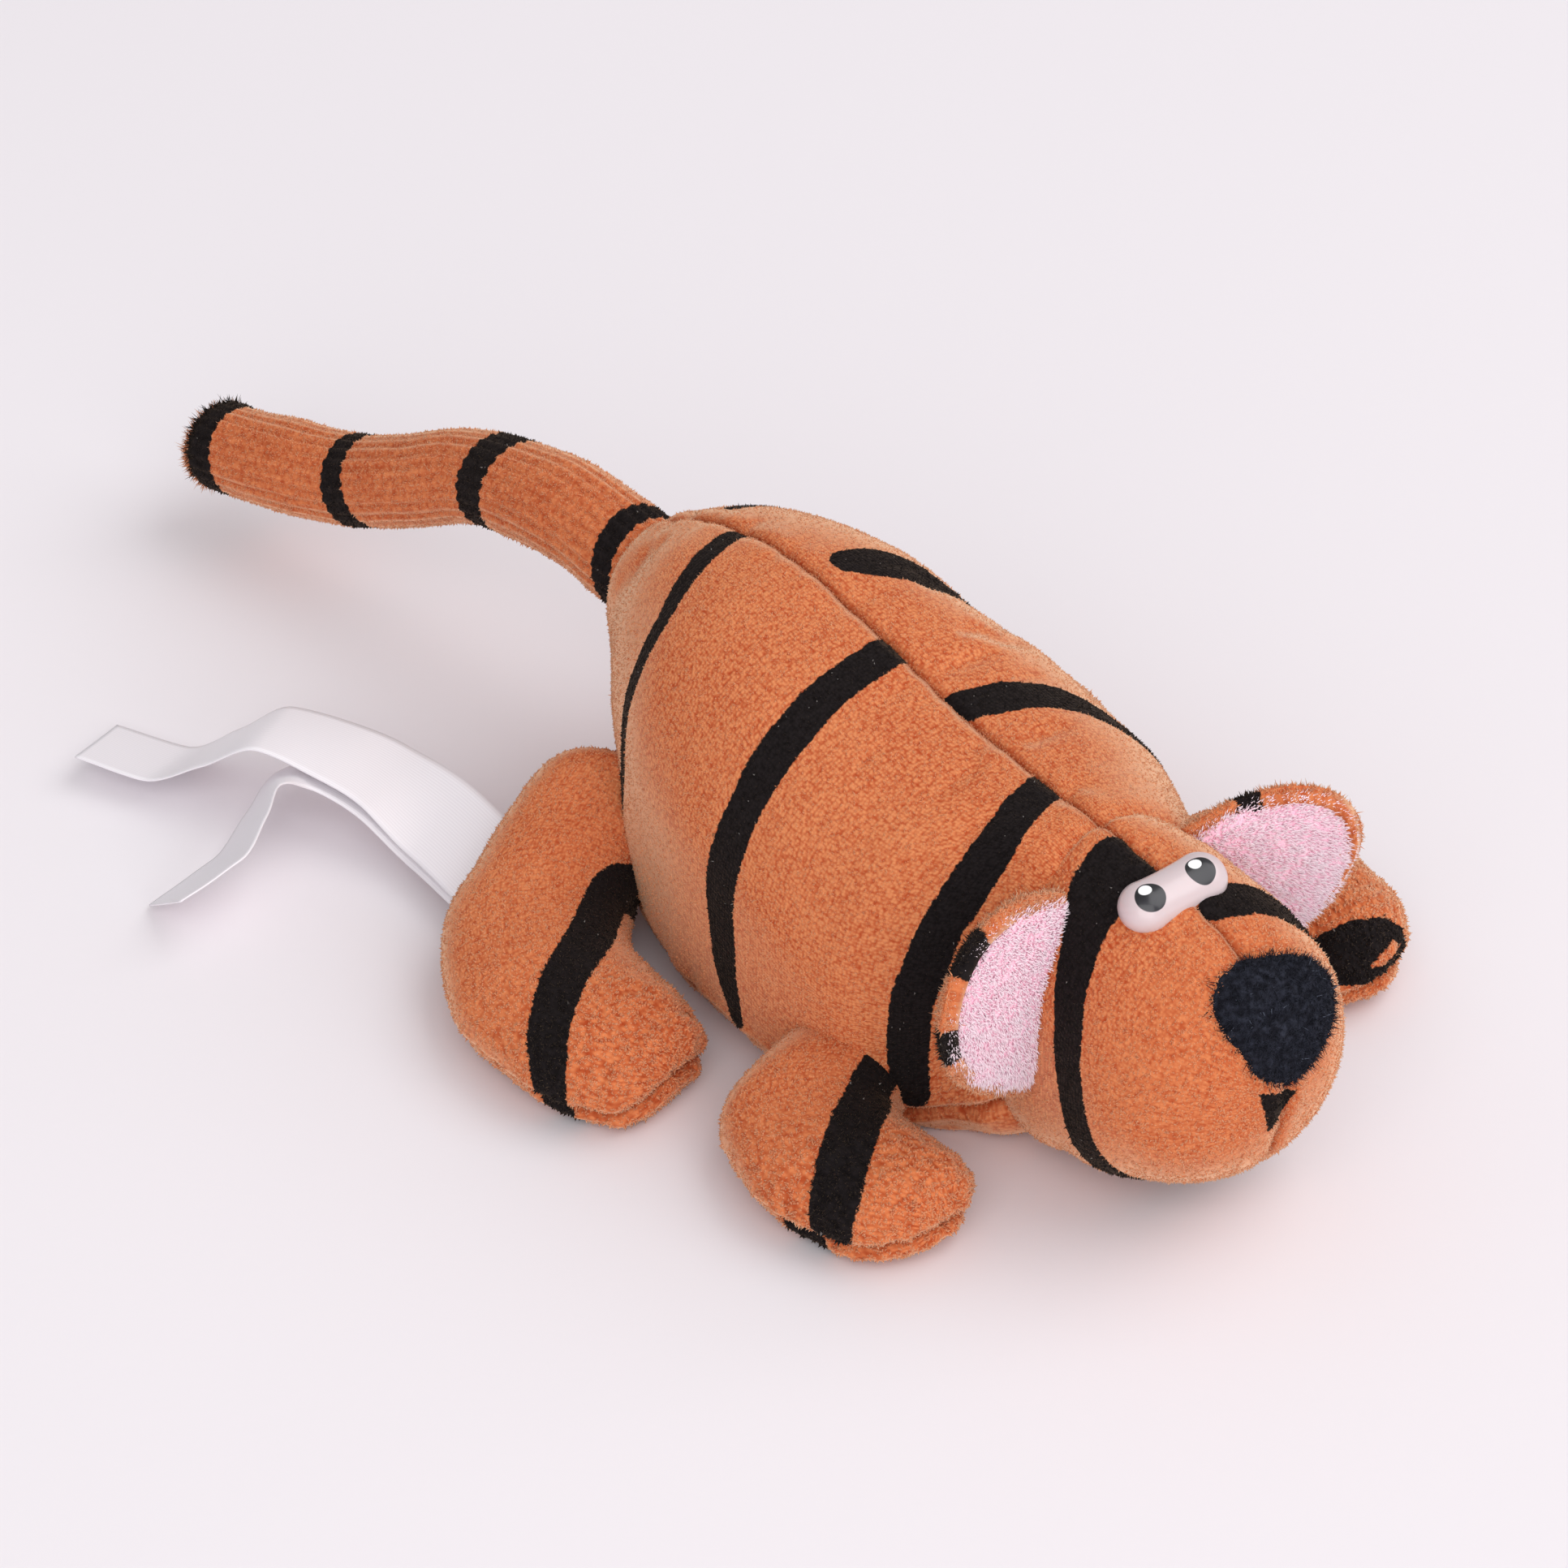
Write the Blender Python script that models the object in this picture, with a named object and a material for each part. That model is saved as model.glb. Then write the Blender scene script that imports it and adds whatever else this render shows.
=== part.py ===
"""Small plush tiger lying on its belly, as the separate pieces it is sewn from.

The tiger faces -Y, its left side is +X and it lies on the plane z = 0.
The frame's origin lies on the flattened belly, under the middle of the body.
Every cover is a velour shell of its own, filled by a separate stuffing.
Sizes are in metres and angles in degrees.
"""

import math
from dataclasses import dataclass

import bmesh
import bpy
import numpy as np
from mathutils import Matrix, Vector
from mathutils.bvhtree import BVHTree

# Sizes shared by all pieces
FABRIC = 0.0012
SEAM_GAP = 0.0003
CLEARANCE = 0.0003
FLOOR_CUT = 0.0005
MERGE_DISTANCE = 0.000001
SHARP_ANGLE = 50.0

# Body
BODY_LENGTH = 0.0740
BODY_FRONT = -0.0376
BODY_HALF_WIDTH = 0.0265
BODY_HEIGHT = 0.0447
BODY_SEAM_ANGLE = -40.0
BODY_RINGS = 12
BODY_SIDE_SEGMENTS = 8
BELLY_SEGMENTS = 5
# Along, left, right, top, bottom and widest height, then squareness
BODY_STATION_SHARES = (
    (0.000, 0.650, 0.670, 0.870, 0.036, 0.440, 2.1),
    (0.062, 0.774, 0.811, 0.870, 0.006, 0.400, 2.2),
    (0.170, 0.868, 0.962, 0.877, 0.000, 0.392, 2.4),
    (0.332, 0.887, 1.000, 0.913, 0.000, 0.425, 2.5),
    (0.508, 0.849, 0.962, 0.971, 0.000, 0.470, 2.4),
    (0.670, 0.792, 0.872, 1.000, 0.008, 0.503, 2.3),
    (0.832, 0.660, 0.664, 0.962, 0.090, 0.540, 2.2),
    (0.941, 0.472, 0.455, 0.870, 0.270, 0.582, 2.1),
)

# Neck, where the head nods about a cross axis
NECK_CENTRE = (0.0, -0.0380, 0.0214)
NECK_HALF_WIDTH = 0.0120
NECK_RADIUS = 0.0155
NECK_FRONT = -0.0450
NECK_RINGS = 4

# Head
HEAD_BACK = -0.0410
HEAD_LENGTH = 0.0298
HEAD_HALF_WIDTH = 0.0155
HEAD_HEIGHT = 0.0388
HEAD_RINGS = 11
HEAD_SIDE_SEGMENTS = 10
HEAD_RECESS = 0.0073
# Along, half width, top, bottom and widest height, then squareness
HEAD_STATION_SHARES = (
    (0.000, 0.870, 1.000, 0.103, 0.552, 2.0),
    (0.100, 0.903, 0.995, 0.103, 0.545, 2.1),
    (0.302, 0.955, 0.974, 0.098, 0.530, 2.1),
    (0.503, 1.000, 0.943, 0.093, 0.518, 2.1),
    (0.671, 0.980, 0.912, 0.108, 0.518, 2.0),
    (0.822, 0.832, 0.850, 0.175, 0.520, 2.0),
    (0.946, 0.516, 0.732, 0.309, 0.525, 2.0),
    (1.000, 0.000, 0.530, 0.530, 0.530, 2.0),
)

# Nose, a fuzzy patch in a rounded triangle point down, sewn on a little askew
NOSE_WIDTH = 0.0166
NOSE_HEIGHT = 0.0140
NOSE_THICKNESS = 0.0014
NOSE_CENTRE = (0.0012, -0.0668, 0.0284)
NOSE_TURN = 4.0
NOSE_TILT = 36.0
NOSE_ROLL = 18.0
NOSE_LOBE_SHARE = 0.12
NOSE_SPOKES = 18
NOSE_RING_SHARES = (0.4, 0.8, 1.0)
NOSE_SWELL_SHARES = (1.0, 0.9, 0.35)

# Eyes, one moulded piece of two domes with a post under each
EYE_SPACING = 0.0079
EYE_RADIUS = 0.0029
EYE_WAIST = 0.0024
EYE_HEIGHT = 0.0027
EYE_CENTRE = (0.0, -0.0516, 0.0378)
EYE_TILT = 12.0
EYE_POST_RADIUS = 0.0009
EYE_POST_LENGTH = 0.0052
EYE_WASHER_RADIUS = 0.0026
EYE_WASHER_THICKNESS = 0.0007
EYE_SEGMENTS = 10
EYE_DOME_RINGS = 6

# Ears
EAR_HEIGHT = 0.0235
EAR_REACH = 0.0181
EAR_ROOT = 0.0040
EAR_FRONT_THICKNESS = 0.0017
EAR_BACK_THICKNESS = 0.0019
EAR_RIM = 0.0020
EAR_BOW = 0.0016
EAR_BASE_TOP = (0.0086, -0.0440, 0.0356)
EAR_BASE_BOTTOM = (0.0152, -0.0458, 0.0131)
EAR_SWEEP_FORWARD = 12.0
EAR_FOLD = 20.0
EAR_FULLNESS = 0.8
EAR_OUTLINE_STEPS = 7
EAR_RING_SHARES = (0.0, 0.65, 1.0)
EAR_SWELL_SHARES = (1.0, 0.85, 0.3)

# Legs
LEG_RINGS = 9
LEG_UPPER_SEGMENTS = 8
LEG_SOLE_SEGMENTS = 4
LEG_SEAM_ANGLE = -38.0
LEG_SQUARENESS = 2.2
LEG_LIFT = 12.0
LEG_FLAT_SHARE = 0.1
REAR_LEG_ROOT = (0.0190, 0.0220)
REAR_LEG_REACH = 0.0360
REAR_LEG_WIDTH = 0.0230
REAR_LEG_HEIGHT = 0.0200
REAR_LEG_HINGE = (0.0165, 0.0205, 0.0105)
REAR_LEFT_SPLAY = -12.0
REAR_LEFT_REACH_SHARE = 0.72
FRONT_LEG_ROOT = (0.0185, -0.0250)
FRONT_LEG_REACH = 0.0262
FRONT_LEG_WIDTH = 0.0202
FRONT_LEG_HEIGHT = 0.0130
FRONT_LEG_HINGE = (0.0195, -0.0245, 0.0068)
FRONT_LEFT_SPLAY = 12.0
FRONT_LEFT_REACH_SHARE = 1.13
# Outward and forward in reaches, facing angle, half width, bottom and top
REAR_LEG_STATION_SHARES = (
    (-0.190, -0.110, -60.0, 0.000, 0.550, 0.550),
    (0.000, 0.000, -57.0, 0.405, 0.100, 1.000),
    (0.220, 0.060, -47.0, 0.440, 0.000, 0.830),
    (0.440, 0.220, -30.0, 0.487, 0.000, 0.700),
    (0.556, 0.458, -14.0, 0.500, 0.000, 0.655),
    (0.583, 0.722, -2.0, 0.478, 0.000, 0.640),
    (0.542, 0.917, 8.0, 0.365, 0.020, 0.550),
    (0.514, 1.008, 12.0, 0.000, 0.280, 0.280),
)
FRONT_LEG_STATION_SHARES = (
    (-0.260, -0.200, -62.0, 0.000, 0.540, 0.540),
    (0.000, 0.000, -55.0, 0.380, 0.000, 1.000),
    (0.285, 0.080, -48.0, 0.437, 0.000, 1.000),
    (0.488, 0.203, -34.0, 0.500, 0.000, 0.960),
    (0.549, 0.467, -18.0, 0.500, 0.000, 0.920),
    (0.510, 0.740, -8.0, 0.458, 0.000, 0.850),
    (0.440, 1.000, 0.0, 0.000, 0.380, 0.380),
)

# Tail, whose ball root turns in the rump's opening
TAIL_BALL_RADIUS = 0.0062
TAIL_CENTRE_Z = 0.0284
TAIL_OUTSTAND = 0.0008
TAIL_LENGTH = 0.0802
TAIL_RADIUS = 0.0058
TAIL_ROOT_HOLE = 0.0024
TAIL_RINGS = 11
TAIL_BALL_RINGS = 3
TAIL_SEGMENTS = 10
TAIL_TIP_CROWDING = 1.3
# Sideways, backward and upward in tail lengths, then radius
TAIL_STATION_SHARES = (
    (0.000, 0.000, 0.000, 1.030),
    (-0.005, 0.180, 0.000, 1.030),
    (-0.014, 0.310, -0.014, 0.980),
    (-0.025, 0.425, -0.041, 0.940),
    (-0.048, 0.530, -0.084, 0.930),
    (-0.072, 0.665, -0.150, 0.960),
    (-0.098, 0.770, -0.172, 0.980),
    (-0.118, 0.900, -0.203, 0.940),
    (-0.130, 0.975, -0.215, 0.780),
    (-0.134, 1.000, -0.219, 0.000),
)

# Label, two satin ribbons sewn into the seam behind the rear right leg
RIBBON_WIDTH = 0.0116
RIBBON_THICKNESS = 0.0004
RIBBON_LENGTH = 0.0600
LABEL_ROOT = (-0.0318, 0.0285, 0.0068)
LABEL_STEPS = 14
# Right, back and up in ribbon lengths, then width shares along each axis
LONG_RIBBON_SHARES = (
    (0.000, 0.000, 0.000, 0.84, 0.25, 0.40),
    (-0.012, 0.170, 0.000, 0.86, 0.28, 0.36),
    (0.002, 0.320, 0.020, 0.90, 0.42, 0.06),
    (0.043, 0.425, 0.043, 0.90, 0.44, -0.05),
    (0.103, 0.540, 0.057, 0.83, 0.54, -0.16),
    (0.175, 0.632, -0.011, 0.84, 0.50, -0.21),
    (0.247, 0.734, -0.076, 0.86, 0.45, -0.26),
    (0.310, 0.874, -0.073, 0.82, 0.50, -0.28),
)
SHORT_RIBBON_SHARES = (
    (0.000, 0.000, -0.022, 0.84, 0.25, 0.40),
    (-0.012, 0.167, -0.028, 0.86, 0.28, 0.34),
    (0.008, 0.308, -0.010, 0.90, 0.42, 0.02),
    (0.067, 0.425, 0.010, 0.80, 0.56, -0.20),
    (0.160, 0.450, 0.018, 0.45, 0.74, -0.50),
    (0.262, 0.388, 0.010, 0.25, 0.78, -0.57),
    (0.368, 0.333, -0.013, 0.16, 0.80, -0.58),
    (0.455, 0.333, -0.036, 0.12, 0.80, -0.59),
    (0.512, 0.333, -0.046, 0.12, 0.79, -0.60),
)


@dataclass(frozen=True)
class Leg:
    """One leg; its root is mirrored by side and its path turned outward by splay."""

    name: str
    side: int
    shares: tuple
    root: tuple
    reach: float
    width: float
    height: float
    hinge: tuple
    splay: float = 0.0


REAR_RIGHT_LEG = Leg(
    "rear_right_leg", -1, REAR_LEG_STATION_SHARES, REAR_LEG_ROOT,
    REAR_LEG_REACH, REAR_LEG_WIDTH, REAR_LEG_HEIGHT, REAR_LEG_HINGE,
)
REAR_LEFT_LEG = Leg(
    "rear_left_leg", 1, REAR_LEG_STATION_SHARES, REAR_LEG_ROOT,
    REAR_LEG_REACH * REAR_LEFT_REACH_SHARE, REAR_LEG_WIDTH, REAR_LEG_HEIGHT,
    REAR_LEG_HINGE, REAR_LEFT_SPLAY,
)
FRONT_RIGHT_LEG = Leg(
    "front_right_leg", -1, FRONT_LEG_STATION_SHARES, FRONT_LEG_ROOT,
    FRONT_LEG_REACH, FRONT_LEG_WIDTH, FRONT_LEG_HEIGHT, FRONT_LEG_HINGE,
)
FRONT_LEFT_LEG = Leg(
    "front_left_leg", 1, FRONT_LEG_STATION_SHARES, FRONT_LEG_ROOT,
    FRONT_LEG_REACH * FRONT_LEFT_REACH_SHARE, FRONT_LEG_WIDTH, FRONT_LEG_HEIGHT,
    FRONT_LEG_HINGE, FRONT_LEFT_SPLAY,
)


def pchip(places, values, at):
    """Read a smooth curve through the values, without overshoot, at new places."""
    places, values = np.asarray(places, float), np.asarray(values, float)
    step = np.diff(places)
    rise = np.diff(values, axis=0) / step[:, None]
    slope = np.zeros_like(values)
    slope[0], slope[-1] = rise[0], rise[-1]
    agree = rise[:-1] * rise[1:] > 0
    total = rise[:-1] + rise[1:]
    safe = np.where(agree, total, 1.0)
    slope[1:-1] = np.where(agree, 2 * rise[:-1] * rise[1:] / safe, 0.0)
    index = np.clip(np.searchsorted(places, at, side="right") - 1, 0, len(step) - 1)
    width = step[index][:, None]
    t = (at - places[index])[:, None] / width
    start, end = values[index], values[index + 1]
    square, cube = t ** 2, t ** 3
    return (
        (2 * cube - 3 * square + 1) * start
        + (cube - 2 * square + t) * width * slope[index]
        + (3 * square - 2 * cube) * end
        + (cube - square) * width * slope[index + 1]
    )


def superellipse(angles, squareness):
    """Unit cosine and sine of a superellipse whose squareness is 2 on a circle."""
    power = 2 / squareness
    cosine, sine = np.cos(angles), np.sin(angles)
    return (
        np.sign(cosine) * np.abs(cosine) ** power,
        np.sign(sine) * np.abs(sine) ** power,
    )


def upright_rings(stations, angles):
    """Rings across Y, from rows of y, left, right, top, bottom, widest, squareness."""
    y, left, right, top, bottom, widest, square = (column[:, None] for column in stations.T)
    cosine, sine = superellipse(angles[None, :], square)
    x = np.where(cosine > 0, left, right) * cosine
    z = widest + np.where(sine > 0, top - widest, widest - bottom) * sine
    return np.stack([x, y + 0 * x, z], axis=-1)


def inset_stations(stations, inset):
    """Draw each ring in by the same distance all round."""
    drawn = stations.copy()
    drawn[:, 1:3] = np.maximum(stations[:, 1:3] - inset, 0)
    low = np.minimum(stations[:, 4] + inset, stations[:, 5])
    drawn[:, 3] = np.maximum(stations[:, 3] - inset, stations[:, 5])
    drawn[:, 4] = low
    return drawn


def fan(start, end, count):
    """Evenly spaced angles in radians from two ends in degrees."""
    return np.radians(np.linspace(start, end, count + 1))


def rest_flat(points):
    """Press everything below the floor plane flat onto it."""
    points[..., 2] = np.maximum(points[..., 2], 0)
    return points


def mesh_object(name, vertices, faces, material):
    """Make a closed, outward-facing, smooth-shaded object from its polygons."""
    mesh = bpy.data.meshes.new(name)
    work = bmesh.new()
    corners = [work.verts.new(place) for place in vertices]
    for face in faces:
        work.faces.new([corners[index] for index in face])
    bmesh.ops.remove_doubles(work, verts=work.verts, dist=MERGE_DISTANCE)
    bmesh.ops.dissolve_degenerate(work, dist=MERGE_DISTANCE, edges=work.edges)
    bmesh.ops.triangulate(work, faces=work.faces)
    bmesh.ops.recalc_face_normals(work, faces=work.faces)
    work.to_mesh(mesh)
    work.free()
    mesh.shade_smooth()
    mesh.set_sharp_from_angle(angle=math.radians(SHARP_ANGLE))
    part = bpy.data.objects.new(name, mesh)
    part.data.materials.append(material)
    bpy.context.scene.collection.objects.link(part)
    return part


def grid_faces(rows, columns, first=0, closed=False):
    """Quads over a grid of points numbered row by row."""
    faces = []
    for row in range(rows - 1):
        for column in range(columns if closed else columns - 1):
            beside = (column + 1) % columns
            faces.append((
                first + row * columns + column,
                first + row * columns + beside,
                first + (row + 1) * columns + beside,
                first + (row + 1) * columns + column,
            ))
    return faces


def sheet_solid(name, outer, inner, material):
    """Solid between two open grids of equal counts, walled along all four edges."""
    rows, columns = outer.shape[:2]
    behind = rows * columns
    faces = grid_faces(rows, columns)
    faces += [tuple(reversed(face)) for face in grid_faces(rows, columns, behind)]
    last = (rows - 1) * columns
    for column in range(columns - 1):
        for start in (column, last + column):
            faces.append((start, start + 1, behind + start + 1, behind + start))
    for row in range(rows - 1):
        for start in (row * columns, row * columns + columns - 1):
            faces.append((start, start + columns, behind + start + columns, behind + start))
    vertices = np.concatenate([outer.reshape(-1, 3), inner.reshape(-1, 3)])
    return mesh_object(name, vertices, faces, material)


def tube_solid(name, outer, inner, material):
    """Solid wall between two grids closed round and at the tip, with a rim at the root."""
    rows, columns = outer.shape[:2]
    behind = rows * columns
    faces = grid_faces(rows, columns, 0, True)
    faces += [tuple(reversed(face)) for face in grid_faces(rows, columns, behind, True)]
    for column in range(columns):
        beside = (column + 1) % columns
        faces.append((column, beside, behind + beside, behind + column))
    vertices = np.concatenate([outer.reshape(-1, 3), inner.reshape(-1, 3)])
    return mesh_object(name, vertices, faces, material)


def lofted_solid(name, rings, material):
    """Solid skinned over closed rings, with a flat cap or a point at each end."""
    rows, columns = rings.shape[:2]
    faces = grid_faces(rows, columns, 0, True)
    faces.append(tuple(range(columns)))
    faces.append(tuple(range((rows - 1) * columns, rows * columns)))
    return mesh_object(name, rings.reshape(-1, 3), faces, material)


def colour(code):
    """Linear colour from an sRGB hex code."""
    shares = [int(code[place:place + 2], 16) / 255 for place in (0, 2, 4)]
    linear = [((share + 0.055) / 1.055) ** 2.4 if share > 0.04 else share / 12.92 for share in shares]
    return (*linear, 1.0)


def make_material(name, code, roughness, metallic=0.0):
    """Plain principled material."""
    material = bpy.data.materials.new(name)
    material.use_nodes = True
    shader = material.node_tree.nodes["Principled BSDF"]
    shader.inputs["Base Color"].default_value = colour(code)
    shader.inputs["Roughness"].default_value = roughness
    shader.inputs["Metallic"].default_value = metallic
    return material


def hide_cutter(cutter):
    """Keep a cutter out of the model."""
    cutter.hide_render = True
    cutter.display_type = "WIRE"
    return cutter


def cut(part, cutter):
    """Take a cutter's volume out of a part."""
    modifier = part.modifiers.new(cutter.name, "BOOLEAN")
    modifier.operation = "DIFFERENCE"
    modifier.solver = "EXACT"
    modifier.object = cutter


def swept_cutters(name, form, hinge, axis, angles):
    """Copies of a form turned about a hinge, one for each angle."""
    centre = Matrix.Translation(Vector(hinge))
    cutters = []
    for number, angle in enumerate(angles):
        copy = bpy.data.objects.new(f"{name}_{number}", form.data)
        bpy.context.scene.collection.objects.link(copy)
        copy.matrix_world = centre @ Matrix.Rotation(math.radians(angle), 4, Vector(axis)) @ centre.inverted()
        cutters.append(hide_cutter(copy))
    return cutters


def body_stations(inset, front, rear, count):
    """Body rings between two places, drawn in, ending in the tail opening."""
    shares = np.array(BODY_STATION_SHARES)
    rows = shares * [
        BODY_LENGTH, BODY_HALF_WIDTH, BODY_HALF_WIDTH,
        BODY_HEIGHT, BODY_HEIGHT, BODY_HEIGHT, 1,
    ]
    rows[:, 0] += BODY_FRONT
    floor_rows = shares[:, 4] == 0
    rows[floor_rows, 4] = -FLOOR_CUT
    opening = TAIL_BALL_RADIUS + CLEARANCE + FABRIC
    last = [
        BODY_FRONT + BODY_LENGTH, opening, opening,
        TAIL_CENTRE_Z + opening, TAIL_CENTRE_Z - opening, TAIL_CENTRE_Z, 2,
    ]
    rows = np.vstack([rows, last])
    bend = (1 - np.cos(np.linspace(0, math.pi, count))) / 2
    at = BODY_FRONT + (rear - BODY_FRONT) * bend
    drawn = np.column_stack([at, pchip(rows[:, 0], rows[:, 1:], at)])
    drawn = inset_stations(drawn, inset)
    drawn[:, 0] = front + (rear - front) * bend
    return drawn


def neck_stations(inset, back, front):
    """Rings over the front of the neck, an ellipsoid round the nodding axis."""
    _, centre_y, centre_z = NECK_CENTRE
    radius, half_width = NECK_RADIUS - inset, NECK_HALF_WIDTH - inset
    at = np.linspace(back, front, NECK_RINGS)
    share = np.sqrt(1 - ((at - centre_y) / radius) ** 2)
    high, low = centre_z + radius * share, centre_z - radius * share
    wide = half_width * share
    flat = np.full(NECK_RINGS, centre_z)
    return np.column_stack([at, wide, wide, high, low, flat, 2 + 0 * at])


def body_rings(inset, angles, neck_front, rear):
    """All of the body's rings, from the neck's front to the tail's opening."""
    step = BODY_FRONT + inset
    neck = neck_stations(inset, step, neck_front)[::-1]
    trunk = body_stations(inset, step, rear, BODY_RINGS)
    return upright_rings(np.vstack([neck, trunk]), angles)


def body_fans():
    """Angles of the left, belly and right panels, in turn once round the body."""
    low = -180 - BODY_SEAM_ANGLE
    return (
        fan(90, BODY_SEAM_ANGLE, BODY_SIDE_SEGMENTS),
        fan(BODY_SEAM_ANGLE, low, BELLY_SEGMENTS),
        fan(low, -270, BODY_SIDE_SEGMENTS),
    )


def body_round():
    """The panels' angles joined into one closed round."""
    return np.concatenate([angles[:-1] for angles in body_fans()])


def build_body(velour, fibre):
    """Two side panels, a belly panel and the stuffing."""
    rear = BODY_FRONT + BODY_LENGTH
    left, under, right = body_fans()
    panels = (
        ("body_left_panel", left, (SEAM_GAP / 2, 0, 0)),
        ("body_right_panel", right, (-SEAM_GAP / 2, 0, 0)),
        ("belly_panel", under, (0, 0, -SEAM_GAP)),
    )
    for name, angles, shift in panels:
        outer = rest_flat(body_rings(0, angles, NECK_FRONT, rear) + shift)
        inner = body_rings(FABRIC, angles, NECK_FRONT, rear) + shift
        sheet_solid(name, outer, inner, velour)
    ball_back = rear + TAIL_OUTSTAND - TAIL_BALL_RADIUS - CLEARANCE
    filling = body_rings(FABRIC + CLEARANCE, body_round(), NECK_FRONT + CLEARANCE, ball_back)
    lofted_solid("body_stuffing", filling, fibre)


def head_stations(inset, back):
    """Head rings from a place behind the face to the tip of the snout."""
    shares = np.array(HEAD_STATION_SHARES)
    rows = shares * [-HEAD_LENGTH, HEAD_HALF_WIDTH, HEAD_HEIGHT, HEAD_HEIGHT, HEAD_HEIGHT, 1]
    rows[:, 0] += HEAD_BACK
    depth = (HEAD_BACK - back) / HEAD_LENGTH
    turns = np.linspace(math.asin(depth), math.pi / 2, HEAD_RINGS)
    at = pchip(np.arcsin(shares[:, 0]), rows, turns)
    widest = at[:, 4]
    shrink = 1 - inset / HEAD_HALF_WIDTH
    half_width = at[:, 1] * shrink
    top = widest + (at[:, 2] - widest) * shrink
    bottom = widest + (at[:, 3] - widest) * shrink
    y = at[:, 0] + inset * np.sin(turns)
    return np.column_stack([y, half_width, half_width, top, bottom, widest, at[:, 5]])


def head_round():
    """The head panels' angles joined into one closed round."""
    return fan(90, -270, 2 * HEAD_SIDE_SEGMENTS)[:-1]


def build_head(velour, fibre):
    """Two side panels that meet along the face, and the stuffing."""
    panels = (
        ("head_left_panel", fan(90, -90, HEAD_SIDE_SEGMENTS), (SEAM_GAP / 2, 0, 0)),
        ("head_right_panel", fan(270, 90, HEAD_SIDE_SEGMENTS), (-SEAM_GAP / 2, 0, 0)),
    )
    made = []
    for name, angles, shift in panels:
        outer = upright_rings(head_stations(0, HEAD_BACK), angles) + shift
        inner = upright_rings(head_stations(FABRIC, HEAD_BACK), angles) + shift
        made.append(sheet_solid(name, outer, inner, velour))
    stations = head_stations(FABRIC + CLEARANCE, HEAD_BACK - HEAD_RECESS)
    filling = upright_rings(stations, head_round())
    made.append(lofted_solid("head_stuffing", filling, fibre))
    return made


def build_forms(velour):
    """Outer forms of body and head, grown by their clearances, used only to cut."""
    rear = BODY_FRONT + BODY_LENGTH
    growth = SEAM_GAP + CLEARANCE
    trunk = body_stations(-growth, BODY_FRONT - growth, rear + growth, BODY_RINGS)
    body = lofted_solid("body_form", upright_rings(trunk, body_round()), velour)
    snout = upright_rings(head_stations(-CLEARANCE, HEAD_BACK), head_round())
    head = lofted_solid("head_form", snout, velour)
    return hide_cutter(body), hide_cutter(head)


def nose_axes():
    """Directions across, up and out of the nose patch."""
    turn, tilt, roll = (math.radians(angle) for angle in (NOSE_TURN, NOSE_TILT, NOSE_ROLL))
    outward = Vector((
        math.sin(turn) * math.cos(tilt),
        -math.cos(turn) * math.cos(tilt),
        math.sin(tilt),
    ))
    level = Vector((math.cos(turn), math.sin(turn), 0))
    steep = outward.cross(level)
    across = level * math.cos(roll) - steep * math.sin(roll)
    upward = level * math.sin(roll) + steep * math.cos(roll)
    return across, upward, outward


def build_nose(head_form, fuzz):
    """Domed patch laid on the snout and cut to its form."""
    surface = BVHTree.FromObject(head_form, bpy.context.evaluated_depsgraph_get())
    across, upward, outward = nose_axes()
    turns = np.linspace(0, 2 * math.pi, NOSE_SPOKES, endpoint=False)
    lobes = 1 + NOSE_LOBE_SHARE * np.sin(3 * turns)
    wide = NOSE_WIDTH / 2 * np.cos(turns) * lobes
    high = NOSE_HEIGHT / 2 * np.sin(turns) * lobes
    under, over = [], []
    for share, swell in zip(NOSE_RING_SHARES, NOSE_SWELL_SHARES):
        low, top = [], []
        for w, h in zip(wide * share, high * share):
            start = Vector(NOSE_CENTRE) + across * w + upward * h + outward * HEAD_LENGTH
            place, normal, _, _ = surface.ray_cast(start, -outward)
            low.append(place - normal * NOSE_THICKNESS)
            top.append(place + normal * NOSE_THICKNESS * swell)
        under.append(low)
        over.append(top)
    patch = lofted_solid("nose_patch", np.array(over + under[::-1]), fuzz)
    cut(patch, head_form)
    return patch


def eye_frame():
    """Placement of the eye piece, tilted to lie along the brow."""
    return Matrix.Translation(Vector(EYE_CENTRE)) @ Matrix.Rotation(math.radians(EYE_TILT), 4, "X")


def turned(name, profile, place, material):
    """Solid turned about its own Z axis from radius and height pairs."""
    turns = np.linspace(0, 2 * math.pi, EYE_SEGMENTS, endpoint=False)
    radius, height = np.array(profile).T
    rings = np.stack([
        radius[:, None] * np.cos(turns),
        radius[:, None] * np.sin(turns),
        height[:, None] + 0 * turns,
    ], axis=-1)
    part = lofted_solid(name, rings, material)
    part.matrix_world = place
    return part


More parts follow.
